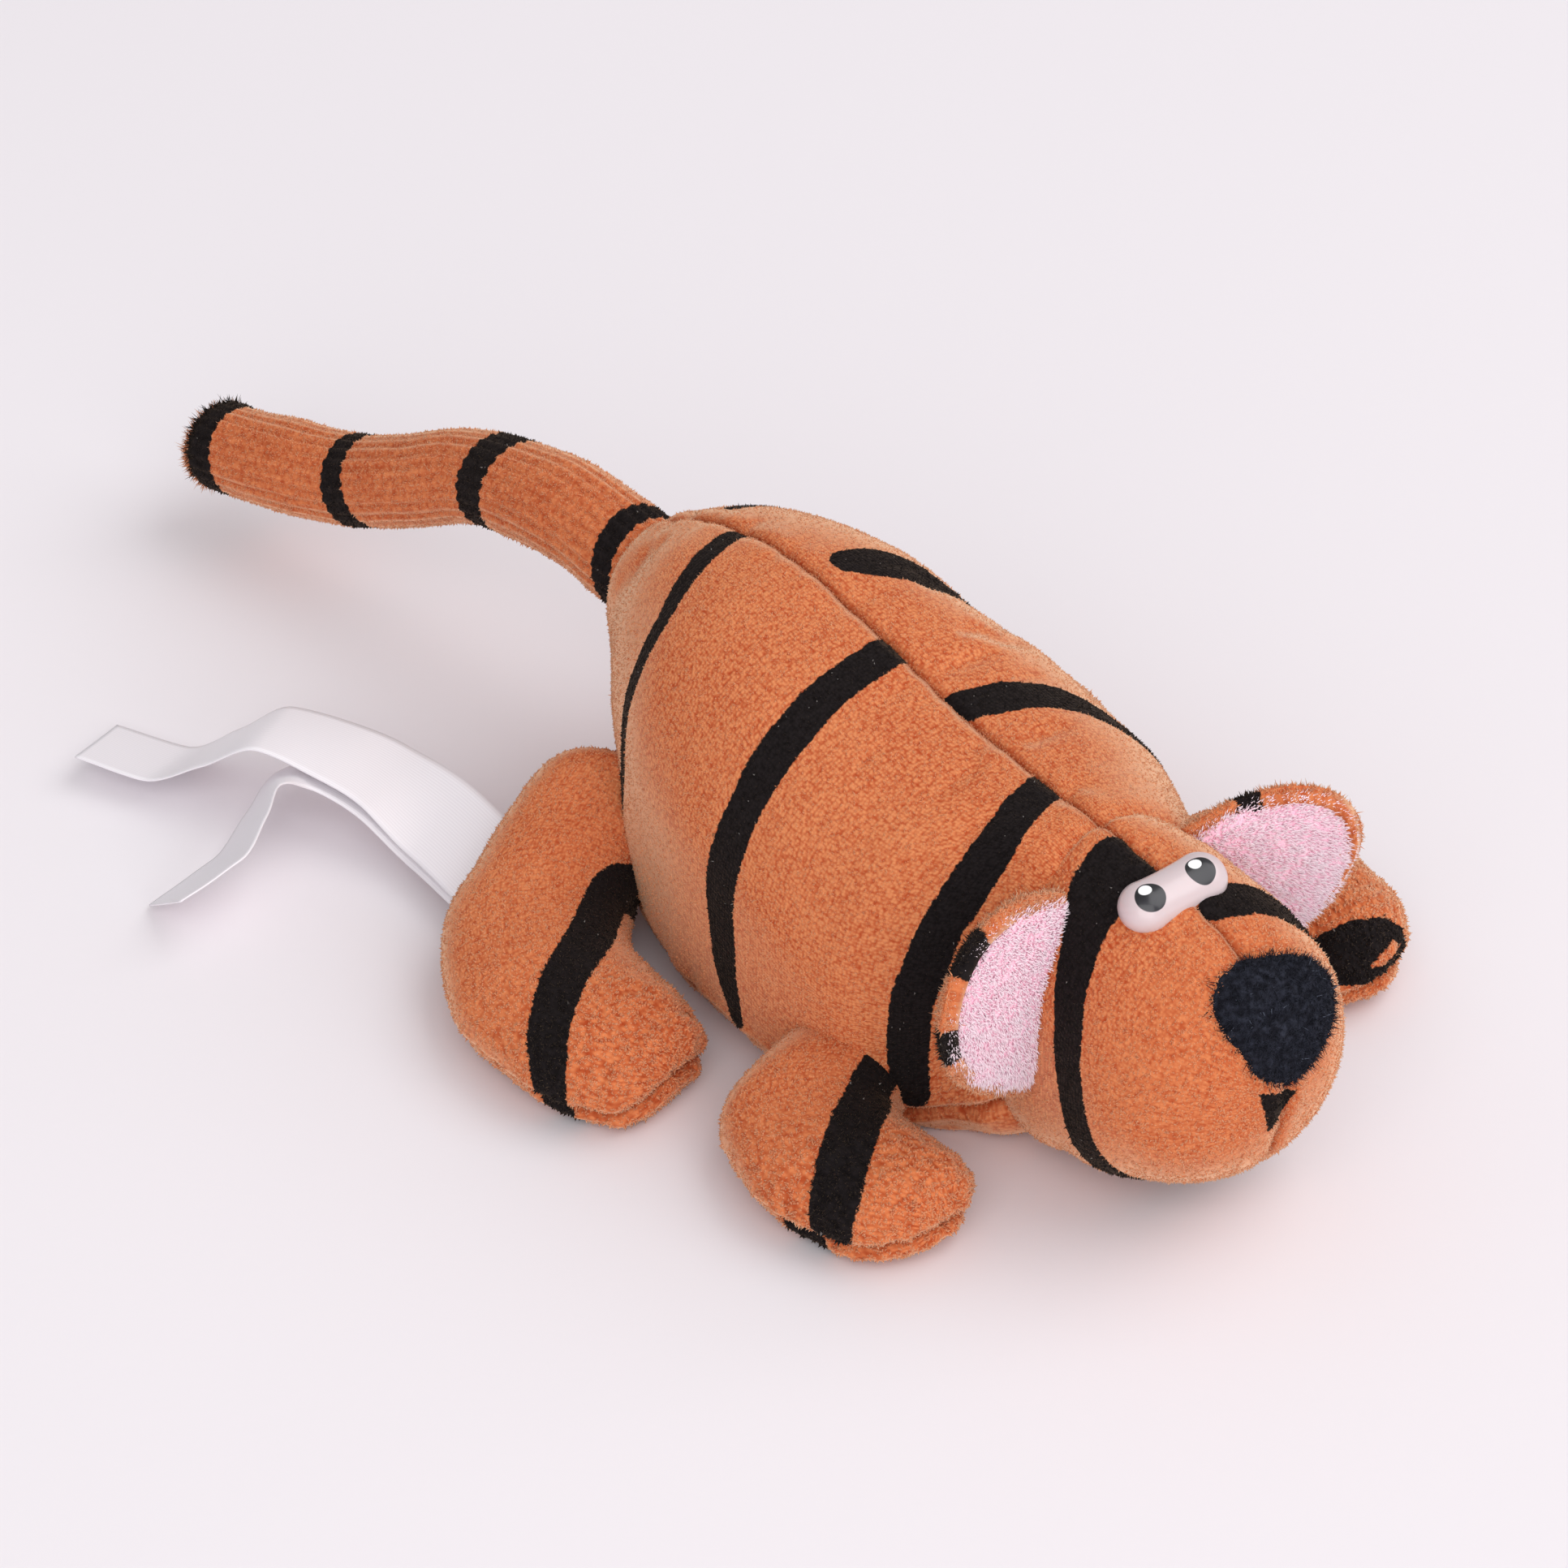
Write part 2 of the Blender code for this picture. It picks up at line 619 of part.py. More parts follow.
def build_eyes(head_parts, head_form, gloss, clear):
    """Moulded twin domes, two posts through the cover, and a washer on each."""
    turns = np.linspace(0, 2 * math.pi, EYE_SEGMENTS, endpoint=False)
    sweep = np.linspace(-math.pi / 2, math.pi / 2, EYE_DOME_RINGS)[2:]
    end_x = EYE_SPACING / 2 + EYE_RADIUS * np.sin(sweep)
    end_r = EYE_RADIUS * np.cos(sweep)
    x = np.concatenate([-end_x[::-1], [0], end_x])
    wide = np.concatenate([end_r[::-1], [EYE_WAIST], end_r])
    tall = wide * EYE_HEIGHT / EYE_RADIUS
    rings = np.stack([
        x[:, None] + 0 * turns,
        wide[:, None] * np.cos(turns),
        tall[:, None] * np.sin(turns),
    ], axis=-1)
    frame = eye_frame()
    eyes = lofted_solid("eye_piece", rings, gloss)
    eyes.matrix_world = frame
    cut(eyes, head_form)
    made = [eyes]
    for name, side in (("left", 1), ("right", -1)):
        centre = frame @ Matrix.Translation(Vector((side * EYE_SPACING / 2, 0, 0)))
        post = turned(f"eye_post_{name}", (
            (EYE_POST_RADIUS, -EYE_POST_LENGTH),
            (EYE_POST_RADIUS, EYE_HEIGHT / 2),
        ), centre, gloss)
        join = eyes.modifiers.new(post.name, "BOOLEAN")
        join.operation = "UNION"
        join.solver = "EXACT"
        join.object = hide_cutter(post)
        hole = EYE_POST_RADIUS + CLEARANCE
        bore = hide_cutter(turned(f"eye_bore_{name}", (
            (hole, -EYE_POST_LENGTH - CLEARANCE),
            (hole, EYE_HEIGHT),
        ), centre, gloss))
        washer_top = -EYE_POST_LENGTH + 2 * EYE_WASHER_THICKNESS
        washer_low = washer_top - EYE_WASHER_THICKNESS
        washer = turned(f"eye_washer_{name}", (
            (EYE_WASHER_RADIUS, washer_low),
            (EYE_WASHER_RADIUS, washer_top),
        ), centre, clear)
        cut(washer, bore)
        pocket_radius = EYE_WASHER_RADIUS + CLEARANCE
        pocket = hide_cutter(turned(f"eye_pocket_{name}", (
            (pocket_radius, -EYE_POST_LENGTH - CLEARANCE),
            (pocket_radius, EYE_HEIGHT),
        ), centre, clear))
        for part in head_parts:
            cut(part, pocket if part.name == "head_stuffing" else bore)
        made.append(washer)
    return made


def build_ear(side, name, head_form, pink, velour):
    """Pink front and striped back of one ear, cut to lie along the head."""
    mirror = np.array([side, 1, 1])
    top = np.array(EAR_BASE_TOP) * mirror
    bottom = np.array(EAR_BASE_BOTTOM) * mirror
    rise = (top - bottom) / np.linalg.norm(top - bottom)
    sweep = math.radians(EAR_SWEEP_FORWARD)
    out = np.array([side * math.cos(sweep), -math.sin(sweep), 0])
    out -= rise * (out @ rise)
    out /= np.linalg.norm(out)
    face = np.cross(out, rise) * side
    middle = (top + bottom) / 2
    turns = np.linspace(-math.pi / 2, math.pi / 2, EAR_OUTLINE_STEPS)
    limits = (-EAR_FOLD, -EAR_FOLD / 2, 0, EAR_FOLD / 2, EAR_FOLD)
    cutters = swept_cutters(f"{name}_sweep", head_form, middle, rise, limits)
    made = []
    layers = (
        ("front", EAR_FRONT_THICKNESS, EAR_RIM, SEAM_GAP / 2, 1, pink),
        ("back", EAR_BACK_THICKNESS, 0, SEAM_GAP / 2, -1, velour),
    )
    for layer, thickness, inset, gap, facing, material in layers:
        reach, half = EAR_REACH - inset, EAR_HEIGHT / 2 - inset
        across = np.concatenate([[-EAR_ROOT], reach * np.cos(turns) ** EAR_FULLNESS, [-EAR_ROOT]])
        along = np.concatenate([[-half], half * np.sin(turns), [half]])
        rings = []
        shares = list(zip(EAR_RING_SHARES, EAR_SWELL_SHARES))
        flat = [(share, 0) for share, _ in reversed(shares)]
        for share, swell in shares + flat:
            w, h = across * share, along * share
            lift = facing * (gap + thickness * swell) + EAR_BOW * (w / reach) ** 2
            rings.append(middle + w[:, None] * out + h[:, None] * rise + lift[:, None] * face)
        part = lofted_solid(f"{name}_{layer}", np.array(rings), material)
        for cutter in cutters:
            cut(part, cutter)
        made.append(part)
    return made


def leg_rings(leg, inset, angles):
    """Upright rings along a bent leg, from inside the flank to the toe."""
    rows = np.array(leg.shares)
    at = np.linspace(0, 1, LEG_RINGS)
    out, ahead, facing, half, low, high = pchip(np.linspace(0, 1, len(rows)), rows, at).T
    narrow = np.maximum(half * leg.width - inset, 0)
    sink = FLOOR_CUT * (1 - np.clip(low / LEG_FLAT_SHARE, 0, 1))
    middle = (high + low) / 2 * leg.height - sink / 2
    tall = np.maximum((high - low) / 2 * leg.height + sink / 2 - inset, 0)
    facing = np.radians(facing)
    cosine, sine = superellipse(angles, LEG_SQUARENESS)
    lateral = np.stack([-np.cos(facing), np.sin(facing)], axis=-1)
    centre = np.stack([out, -ahead], axis=-1) * leg.reach
    along = np.gradient(centre, axis=0)
    along /= np.linalg.norm(along, axis=1)[:, None]
    centre -= along * (inset * (at * 2 - 1))[:, None]
    plan = centre[:, None] + lateral[:, None] * narrow[:, None, None] * cosine[None, :, None]
    turn = math.radians(leg.splay)
    spin = np.array([[math.cos(turn), -math.sin(turn)], [math.sin(turn), math.cos(turn)]])
    plan = plan @ spin.T + leg.root
    z = middle[:, None] + tall[:, None] * sine
    return np.stack([leg.side * plan[..., 0], plan[..., 1], z], axis=-1)


def build_leg(leg, body_form, velour, fibre):
    """Upper panel, sole and stuffing of one leg, cut back from the flank."""
    upper = fan(LEG_SEAM_ANGLE, 180 - LEG_SEAM_ANGLE, LEG_UPPER_SEGMENTS)
    sole = fan(180 - LEG_SEAM_ANGLE, 360 + LEG_SEAM_ANGLE, LEG_SOLE_SEGMENTS)
    made = []
    for word, angles, rise in (("upper", upper, SEAM_GAP), ("sole", sole, 0)):
        outer = rest_flat(leg_rings(leg, 0, angles) + (0, 0, rise))
        inner = leg_rings(leg, FABRIC, angles) + (0, 0, rise)
        made.append(sheet_solid(f"{leg.name}_{word}", outer, inner, velour))
    both = np.concatenate([upper[:-1], sole[:-1]])
    filling = leg_rings(leg, FABRIC + CLEARANCE, both)
    made.append(lofted_solid(f"{leg.name}_stuffing", filling, fibre))
    facing = math.radians(leg.shares[1][2] + leg.splay)
    axis = (leg.side * math.cos(facing), -math.sin(facing), 0)
    limits = (-LEG_LIFT, -LEG_LIFT / 2, 0, LEG_LIFT / 2, LEG_LIFT)
    pivot = (leg.side * leg.hinge[0], leg.hinge[1], leg.hinge[2])
    cutters = swept_cutters(f"{leg.name}_sweep", body_form, pivot, axis, limits)
    for part in made:
        for cutter in cutters:
            cut(part, cutter)


def path_rings(centres, radii, angles):
    """Rings square to a path that runs roughly along Y."""
    along = np.gradient(centres, axis=0)
    along /= np.linalg.norm(along, axis=1)[:, None]
    side = np.cross(along, (0, 0, 1))
    side /= np.linalg.norm(side, axis=1)[:, None]
    up = np.cross(side, along)
    round_way = side[:, None] * np.cos(angles)[None, :, None] + up[:, None] * np.sin(angles)[None, :, None]
    return centres[:, None] + radii[:, None, None] * round_way


def tail_path(inset):
    """Centres and radii of the tail's rings, ball root first."""
    centre = np.array([0, BODY_FRONT + BODY_LENGTH + TAIL_OUTSTAND, TAIL_CENTRE_Z])
    shares = np.array(TAIL_STATION_SHARES)
    rows = shares * [TAIL_LENGTH, TAIL_LENGTH, TAIL_LENGTH, TAIL_RADIUS]
    at = 1 - (1 - np.linspace(0, 1, TAIL_RINGS)) ** TAIL_TIP_CROWDING
    places = shares[:, 1]
    tube = pchip(places, rows, at)
    radii = np.maximum(tube[:, 3] - inset, 0)
    radii[0] = TAIL_BALL_RADIUS - inset
    run = centre + tube[:, :3]
    run[:, 1] -= inset * at
    hole_angle = math.acos(TAIL_ROOT_HOLE / TAIL_BALL_RADIUS)
    bend = np.linspace(hole_angle, 0, TAIL_BALL_RINGS, endpoint=False)
    ball_radius = TAIL_BALL_RADIUS - inset
    ball = centre - np.outer(ball_radius * np.sin(bend), (0, 1, 0))
    return np.vstack([ball, run]), np.concatenate([ball_radius * np.cos(bend), radii])


def build_tail(velour, fibre):
    """Tube sewn shut at the tip, open where it is filled, and its stuffing."""
    angles = np.linspace(0, 2 * math.pi, TAIL_SEGMENTS, endpoint=False)
    outer = path_rings(*tail_path(0), angles)
    inner = path_rings(*tail_path(FABRIC), angles)
    cover = tube_solid("tail_cover", outer, inner, velour)
    filling = lofted_solid("tail_stuffing", path_rings(*tail_path(FABRIC + CLEARANCE), angles), fibre)
    return [cover, filling]


def build_ribbon(name, shares, satin):
    """Flat ribbon that bends and twists along its run."""
    rows = np.array(shares)
    steps = np.linspace(0, 1, LABEL_STEPS)
    at = pchip(np.linspace(0, 1, len(rows)), rows, steps)
    run = np.array(LABEL_ROOT) + at[:, :3] * [-RIBBON_LENGTH, RIBBON_LENGTH, RIBBON_LENGTH]
    across = at[:, 3:] / np.linalg.norm(at[:, 3:], axis=1)[:, None]
    along = np.gradient(run, axis=0)
    normal = np.cross(across, along)
    normal /= np.linalg.norm(normal, axis=1)[:, None]
    half, thin = RIBBON_WIDTH / 2, RIBBON_THICKNESS / 2
    corners = ((-half, -thin), (half, -thin), (half, thin), (-half, thin))
    rings = np.stack([run + wide * across + deep * normal for wide, deep in corners], axis=1)
    return lofted_solid(name, rings, satin)


def main():
    """Clear the scene and build every piece."""
    for leftover in list(bpy.data.objects):
        bpy.data.objects.remove(leftover)
    velour = make_material("velour_orange", "D8854F", 0.95)
    pink = make_material("plush_pink", "F3BFD6", 0.95)
    fuzz = make_material("fuzz_navy_black", "17171F", 0.95)
    fibre = make_material("polyester_fibre", "EFEDE8", 1.0)
    gloss = make_material("moulded_milk_white", "E3DAD8", 0.2)
    clear = make_material("moulded_washer", "DCDCD8", 0.4)
    satin = make_material("satin_white", "F2EEF2", 0.5)
    body_form, head_form = build_forms(velour)
    build_body(velour, fibre)
    head_parts = build_head(velour, fibre)
    build_nose(head_form, fuzz)
    build_eyes(head_parts, head_form, gloss, clear)
    for side, word in ((1, "left"), (-1, "right")):
        build_ear(side, f"ear_{word}", head_form, pink, velour)
    for leg in (FRONT_LEFT_LEG, FRONT_RIGHT_LEG, REAR_LEFT_LEG, REAR_RIGHT_LEG):
        build_leg(leg, body_form, velour, fibre)
    build_tail(velour, fibre)
    build_ribbon("label_ribbon_long", LONG_RIBBON_SHARES, satin)
    build_ribbon("label_ribbon_short", SHORT_RIBBON_SHARES, satin)


main()
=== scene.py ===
"""Looks of a small plush tiger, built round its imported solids.

The tiger faces -Y, its left side is +X and it lies on z = 0. Sizes are in
metres unless a name ends in mm. Each sewn piece is a surface worked out from
the same stations as its solid. The panels of the body, head and legs are
then blown out by a short cloth simulation, and seams, puckers, prints and
pile are added last.
"""

import itertools
import logging
import math
from dataclasses import dataclass, field
from enum import Enum

import bpy
import numpy as np
from bpy.types import Material, NodeSocket, NodeTree, Object
from mathutils import Matrix, Vector


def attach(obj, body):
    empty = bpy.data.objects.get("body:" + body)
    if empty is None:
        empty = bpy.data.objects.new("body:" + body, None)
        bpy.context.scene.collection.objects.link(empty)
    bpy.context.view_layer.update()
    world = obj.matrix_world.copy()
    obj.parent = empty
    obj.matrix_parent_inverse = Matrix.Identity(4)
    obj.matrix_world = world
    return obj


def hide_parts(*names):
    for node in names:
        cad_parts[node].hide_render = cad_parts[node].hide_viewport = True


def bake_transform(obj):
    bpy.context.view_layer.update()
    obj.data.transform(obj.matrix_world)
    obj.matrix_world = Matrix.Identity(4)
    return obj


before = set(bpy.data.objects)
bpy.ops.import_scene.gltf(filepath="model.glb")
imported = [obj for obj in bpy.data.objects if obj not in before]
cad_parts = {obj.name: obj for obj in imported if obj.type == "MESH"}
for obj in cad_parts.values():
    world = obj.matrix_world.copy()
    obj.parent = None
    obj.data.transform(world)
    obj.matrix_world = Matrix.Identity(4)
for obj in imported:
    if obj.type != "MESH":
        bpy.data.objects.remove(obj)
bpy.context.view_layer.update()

LOG = logging.getLogger("tiger")
MM = 0.001

# Sizes shared by all covers
FABRIC = 0.0008
FLOOR_CUT = 0.0005
STUFFING_INSET = 0.0028
LARGEST_COAT = 49000
INK_SPREAD_MM = 0.15
NO_PRINT_MM = 9.0
POLE_SIZE = 1e-7
BAKE_MARGIN = 0.01
NECK_ROWS = 40

# Marks that the finishes read, one value for each point
PRINT_MARK = "print_mm"
SHAG_MARK = "shag"
# Closeness to a seam's dip or a rib's valley, where the finish paints shade
GROOVE_SHADE_MARK = "groove_shade"
TIP_MARK = "tip"
CHANCE_MARK = "chance"
UV_NAME = "knit"
BAKE_UV = "OFBake"

# Settings that shader nodes share. A Mix of colours has its share at input 0 and
# its colours at 6 and 7. A Map Range reads input 0 from 1 to 2, as 3 to 4.
COLOURS = {"output": 2, "data_type": "RGBA"}
EASED = {"interpolation_type": "SMOOTHSTEP"}
TIMES = {"operation": "MULTIPLY"}
PLUS = {"operation": "ADD"}
LESS = {"operation": "SUBTRACT"}


class Side(Enum):
    """Sides of the tiger, as the sign of X."""

    LEFT = 1
    RIGHT = -1

    @property
    def word(self) -> str:
        """The side's name as the nodes have it."""
        return self.name.lower()


# Numbers


def pchip(places: np.ndarray, values: np.ndarray, at: np.ndarray) -> np.ndarray:
    """Read a smooth curve through values, a cubic on each span without overshoot.

    Args:
        places: Rising places of the values.
        values: One row for each place.
        at: Places to read.

    Returns:
        One row for each place read.
    """
    places, values = np.asarray(places, float), np.asarray(values, float)
    step = np.diff(places)
    rise = np.diff(values, axis=0) / step[:, None]
    slope = np.zeros_like(values)
    slope[0], slope[-1] = rise[0], rise[-1]
    agree = rise[:-1] * rise[1:] > 0
    safe = np.where(agree, rise[:-1] + rise[1:], 1.0)
    slope[1:-1] = np.where(agree, 2 * rise[:-1] * rise[1:] / safe, 0.0)
    index = np.clip(np.searchsorted(places, at, side="right") - 1, 0, len(step) - 1)
    width = step[index][:, None]
    t = (at - places[index])[:, None] / width
    start, end = values[index], values[index + 1]
    square, cube = t ** 2, t ** 3
    return (
        (2 * cube - 3 * square + 1) * start
        + (cube - 2 * square + t) * width * slope[index]
        + (3 * square - 2 * cube) * end
        + (cube - square) * width * slope[index + 1]
    )


def superellipse(angles: np.ndarray, squareness: np.ndarray) -> tuple[np.ndarray, np.ndarray]:
    """Unit cosine and sine of a superellipse: each raised to 2 over its squareness.

    Args:
        angles: Angles round the ring, in radians.
        squareness: 2 on a circle, more on a squarer ring.

    Returns:
        Cosines and sines.
    """
    power = 2 / squareness
    cosine, sine = np.cos(angles), np.sin(angles)
    return np.sign(cosine) * np.abs(cosine) ** power, np.sign(sine) * np.abs(sine) ** power


def upright_rings(stations: np.ndarray, angles: np.ndarray) -> np.ndarray:
    """Rings across Y: x is a half width by the cosine, z a half height by the sine.

    Args:
        stations: Rows of y, left, right, top, bottom, widest height, and
            squareness above and below the widest height.
        angles: Angles round each ring, in radians.

    Returns:
        A grid of points, one row for each station.
    """
    y, left, right, top, bottom, widest, upper, lower = (column[:, None] for column in stations.T)
    squareness = np.where(np.sin(angles)[None, :] > 0, upper, lower)
    cosine, sine = superellipse(angles[None, :], squareness)
    x = np.where(cosine > 0, left, right) * cosine
    z = widest + np.where(sine > 0, top - widest, widest - bottom) * sine
    return np.stack([x, y + 0 * x, z], axis=-1)


def value_noise(points: np.ndarray, size: float, seed: int) -> np.ndarray:
    """Smooth random values from -1 to 1, eased between the corners of a lattice.

    Args:
        points: Points in any shape, last axis of 3.
        size: Edge of one lattice cell.
        seed: Which of the random fields to read.

    Returns:
        One value for each point.
    """
    place = points / size
    base = np.floor(place).astype(np.int64)
    ease = (place - base) ** 2 * (3 - 2 * (place - base))
    total = np.zeros(points.shape[:-1])
    limit = 0xFFFFFFFF
    for corner in itertools.product((0, 1), repeat=3):
        cell = base + np.array(corner)
        weight = np.prod(np.where(np.array(corner), ease, 1 - ease), axis=-1)
        code = cell[..., 0] * 374761393 + cell[..., 1] * 668265263
        code = (code + cell[..., 2] * 1442695041 + seed * 974634777) & limit
        code = ((code ^ (code >> 13)) * 1274126177) & limit
        code = code ^ (code >> 16)
        total += weight * (code / limit * 2 - 1)
    return total


def unit(vectors: np.ndarray) -> np.ndarray:
    """The vectors at length one."""
    return vectors / np.maximum(np.linalg.norm(vectors, axis=-1, keepdims=True), 1e-12)


def grid_normals(points: np.ndarray, closed: bool) -> np.ndarray:
    """Outward directions of a grid: the cross product of its two tangents.

    Args:
        points: Grid of points.
        closed: Whether the columns join up into rings.

    Returns:
        A grid of unit vectors.
    """
    along = np.gradient(points, axis=0)
    if closed:
        across = (np.roll(points, -1, axis=1) - np.roll(points, 1, axis=1)) / 2
    else:
        across = np.gradient(points, axis=1)
    normals = np.cross(across, along)
    for pole, beside in ((0, 1), (-1, -2)):
        if np.ptp(points[pole], axis=0).max() < POLE_SIZE:
            normals[pole] = unit(normals[beside]).mean(axis=0)
    normals = unit(normals)
    outward = points - points.mean(axis=(0, 1))
    return normals if (normals * outward).sum() > 0 else -normals


def run_length(points: np.ndarray, axis: int) -> np.ndarray:
    """Distance travelled over the grid from its first row or column.

    Args:
        points: Grid of points.
        axis: 0 from row to row, 1 from column to column.

    Returns:
        Distances in the grid's shape.
    """
    steps = np.linalg.norm(np.diff(points, axis=axis), axis=-1)
    start = np.zeros_like(np.take(steps, [0], axis=axis))
    return np.concatenate([start, np.cumsum(steps, axis=axis)], axis=axis)


def spread(values: np.ndarray, places: np.ndarray, count: int, axis: int) -> np.ndarray:
    """Read values at every whole place along one axis, straight between them.

    Args:
        values: Values at some places.
        places: Rising whole places along the axis.
        count: How many places to read, from 0.
        axis: Which axis to read along.

    Returns:
        The values, count of them along the axis.
    """
    every = np.arange(count)
    return np.apply_along_axis(lambda line: np.interp(every, places, line), axis, values)


def near_line(points: np.ndarray, line: np.ndarray) -> tuple[np.ndarray, np.ndarray]:
    """Distance of points from the nearest point of a line, and which that is.

    Args:
        points: Points in any shape.
        line: Close points along a line.

    Returns:
        Distances, and numbers of the line's points.
    """
    flat = points.reshape(-1, 3)
    square = (flat ** 2).sum(1)[:, None] + (line ** 2).sum(1)[None] - 2 * flat @ line.T
    index = square.argmin(axis=1)
    gap = np.linalg.norm(flat - line[index], axis=1)
    return gap.reshape(points.shape[:-1]), index.reshape(points.shape[:-1])


# Surfaces


@dataclass
class Surface:
    """A grid of points with the marks that its finish reads."""

    points: np.ndarray
    closed: bool = False
    marks: dict[str, np.ndarray] = field(default_factory=dict)
    uv: np.ndarray | None = None

    def __post_init__(self) -> None:
        """Lay the knit's own coordinates over the grid, in metres of cloth."""
        if self.uv is None:
            middle = self.points.shape[0] // 2
            row = run_length(self.points, 0).mean(axis=1)
            column = run_length(self.points, 1)[middle]
            self.uv = np.stack(np.meshgrid(row, column, indexing="ij"), axis=-1)

    def normals(self) -> np.ndarray:
        """Outward directions of the grid."""
        return grid_normals(self.points, self.closed)

    def pushed(self, distance: np.ndarray) -> "Surface":
        """The same surface moved outward by a distance at each point."""
        moved = self.points + self.normals() * distance[..., None]
        return Surface(moved, self.closed, dict(self.marks), self.uv)

    def sheet_uvs(self) -> dict[str, np.ndarray]:
        """Both UV grids: the knit's own, and an even one that spans the square within a margin.
        A closed grid gets one more column, where its rings join.

        Returns:
            UV grids by layer name.
        """
        rows, columns = self.points.shape[:2]
        wide = columns + 1 if self.closed else columns
        even = np.meshgrid(
            *(np.linspace(BAKE_MARGIN, 1 - BAKE_MARGIN, count) for count in (rows, wide)),
            indexing="ij",
        )
        knit = self.uv
        if self.closed:
            knit = np.concatenate([knit, 2 * knit[:, -1:] - knit[:, -2:-1]], axis=1)
        return {UV_NAME: knit, BAKE_UV: np.stack(even, axis=-1)}

    def piece(self, name: str, material: Material) -> Object:
        """Make the grid a smooth mesh, its poles closed by triangles.

        Args:
            name: Name of the piece.
            material: Its finish.

        Returns:
            The new object, at the origin.
        """
        rows, columns = self.points.shape[:2]
        ids = np.arange(rows * columns).reshape(rows, columns)
        for pole in (0, -1):
            if np.ptp(self.points[pole], axis=0).max() < POLE_SIZE:
                ids[pole] = ids[pole, 0]
        here = np.arange(columns if self.closed else columns - 1)
        beside = (here + 1) % columns
        loops = np.stack([
            ids[:-1, here], ids[:-1, beside], ids[1:, beside], ids[1:, here],
        ], axis=-1).reshape(-1, 4)
        corners = {
            layer: np.stack([
                uv[:-1, here], uv[:-1, here + 1], uv[1:, here + 1], uv[1:, here],
            ], axis=2).reshape(-1, 4, 2)
            for layer, uv in self.sheet_uvs().items()
        }
        flat = self.points.reshape(-1, 3)
        cross = np.cross(
            flat[loops[:, 2]] - flat[loops[:, 0]], flat[loops[:, 3]] - flat[loops[:, 1]]
        )
        if (cross * self.normals().reshape(-1, 3)[loops[:, 0]]).sum() < 0:
            loops = loops[:, ::-1]
            corners = {layer: uv[:, ::-1] for layer, uv in corners.items()}
        keep = loops != np.roll(loops, 1, axis=1)
        used, fresh = np.unique(loops, return_inverse=True)
        fresh = fresh.reshape(loops.shape)
        faces = [tuple(row[mask]) for row, mask in zip(fresh, keep)]
        return mesh_piece(
            name, flat[used], faces, material,
            {layer: uv.reshape(-1, 2)[keep.reshape(-1)] for layer, uv in corners.items()},
            {mark: values.reshape(-1)[used] for mark, values in self.marks.items()},
        )


def mesh_piece(
    name: str,
    places: np.ndarray,
    faces: list,
    material: Material,
    corner_uvs: dict[str, np.ndarray] | None = None,
    marks: dict[str, np.ndarray] | None = None,
) -> Object:
    """Put points and faces into a smooth mesh with its UV maps and marks.

    Args:
        name: Name of the piece.
        places: Points, in metres.
        faces: Faces as point numbers.
        material: The piece's finish.
        corner_uvs: UV pairs by layer name, one for each face corner.
        marks: Float values by name, one for each point.

    Returns:
        The new object, at the origin.
    """
    mesh = bpy.data.meshes.new(name)
    mesh.from_pydata(places, [], faces)
    mesh.shade_smooth()
    for layer_name, uv in (corner_uvs or {}).items():
        layer = mesh.uv_layers.new(name=layer_name)
        layer.data.foreach_set("uv", uv.astype(np.float32).ravel())
    for mark, values in (marks or {}).items():
        layer = mesh.attributes.new(mark, "FLOAT", "POINT")
        layer.data.foreach_set("value", values.astype(np.float32))
    mesh.materials.append(material)
    piece = bpy.data.objects.new(name, mesh)
    bpy.context.scene.collection.objects.link(piece)
    return piece


def thicken(piece: Object, thickness: float) -> None:
    """Give cloth its thickness, inward.

    Args:
        piece: The cloth.
        thickness: How thick it is.
    """
    wall = piece.modifiers.new("cloth thickness", "SOLIDIFY")
    wall.thickness = thickness
    wall.offset = -1


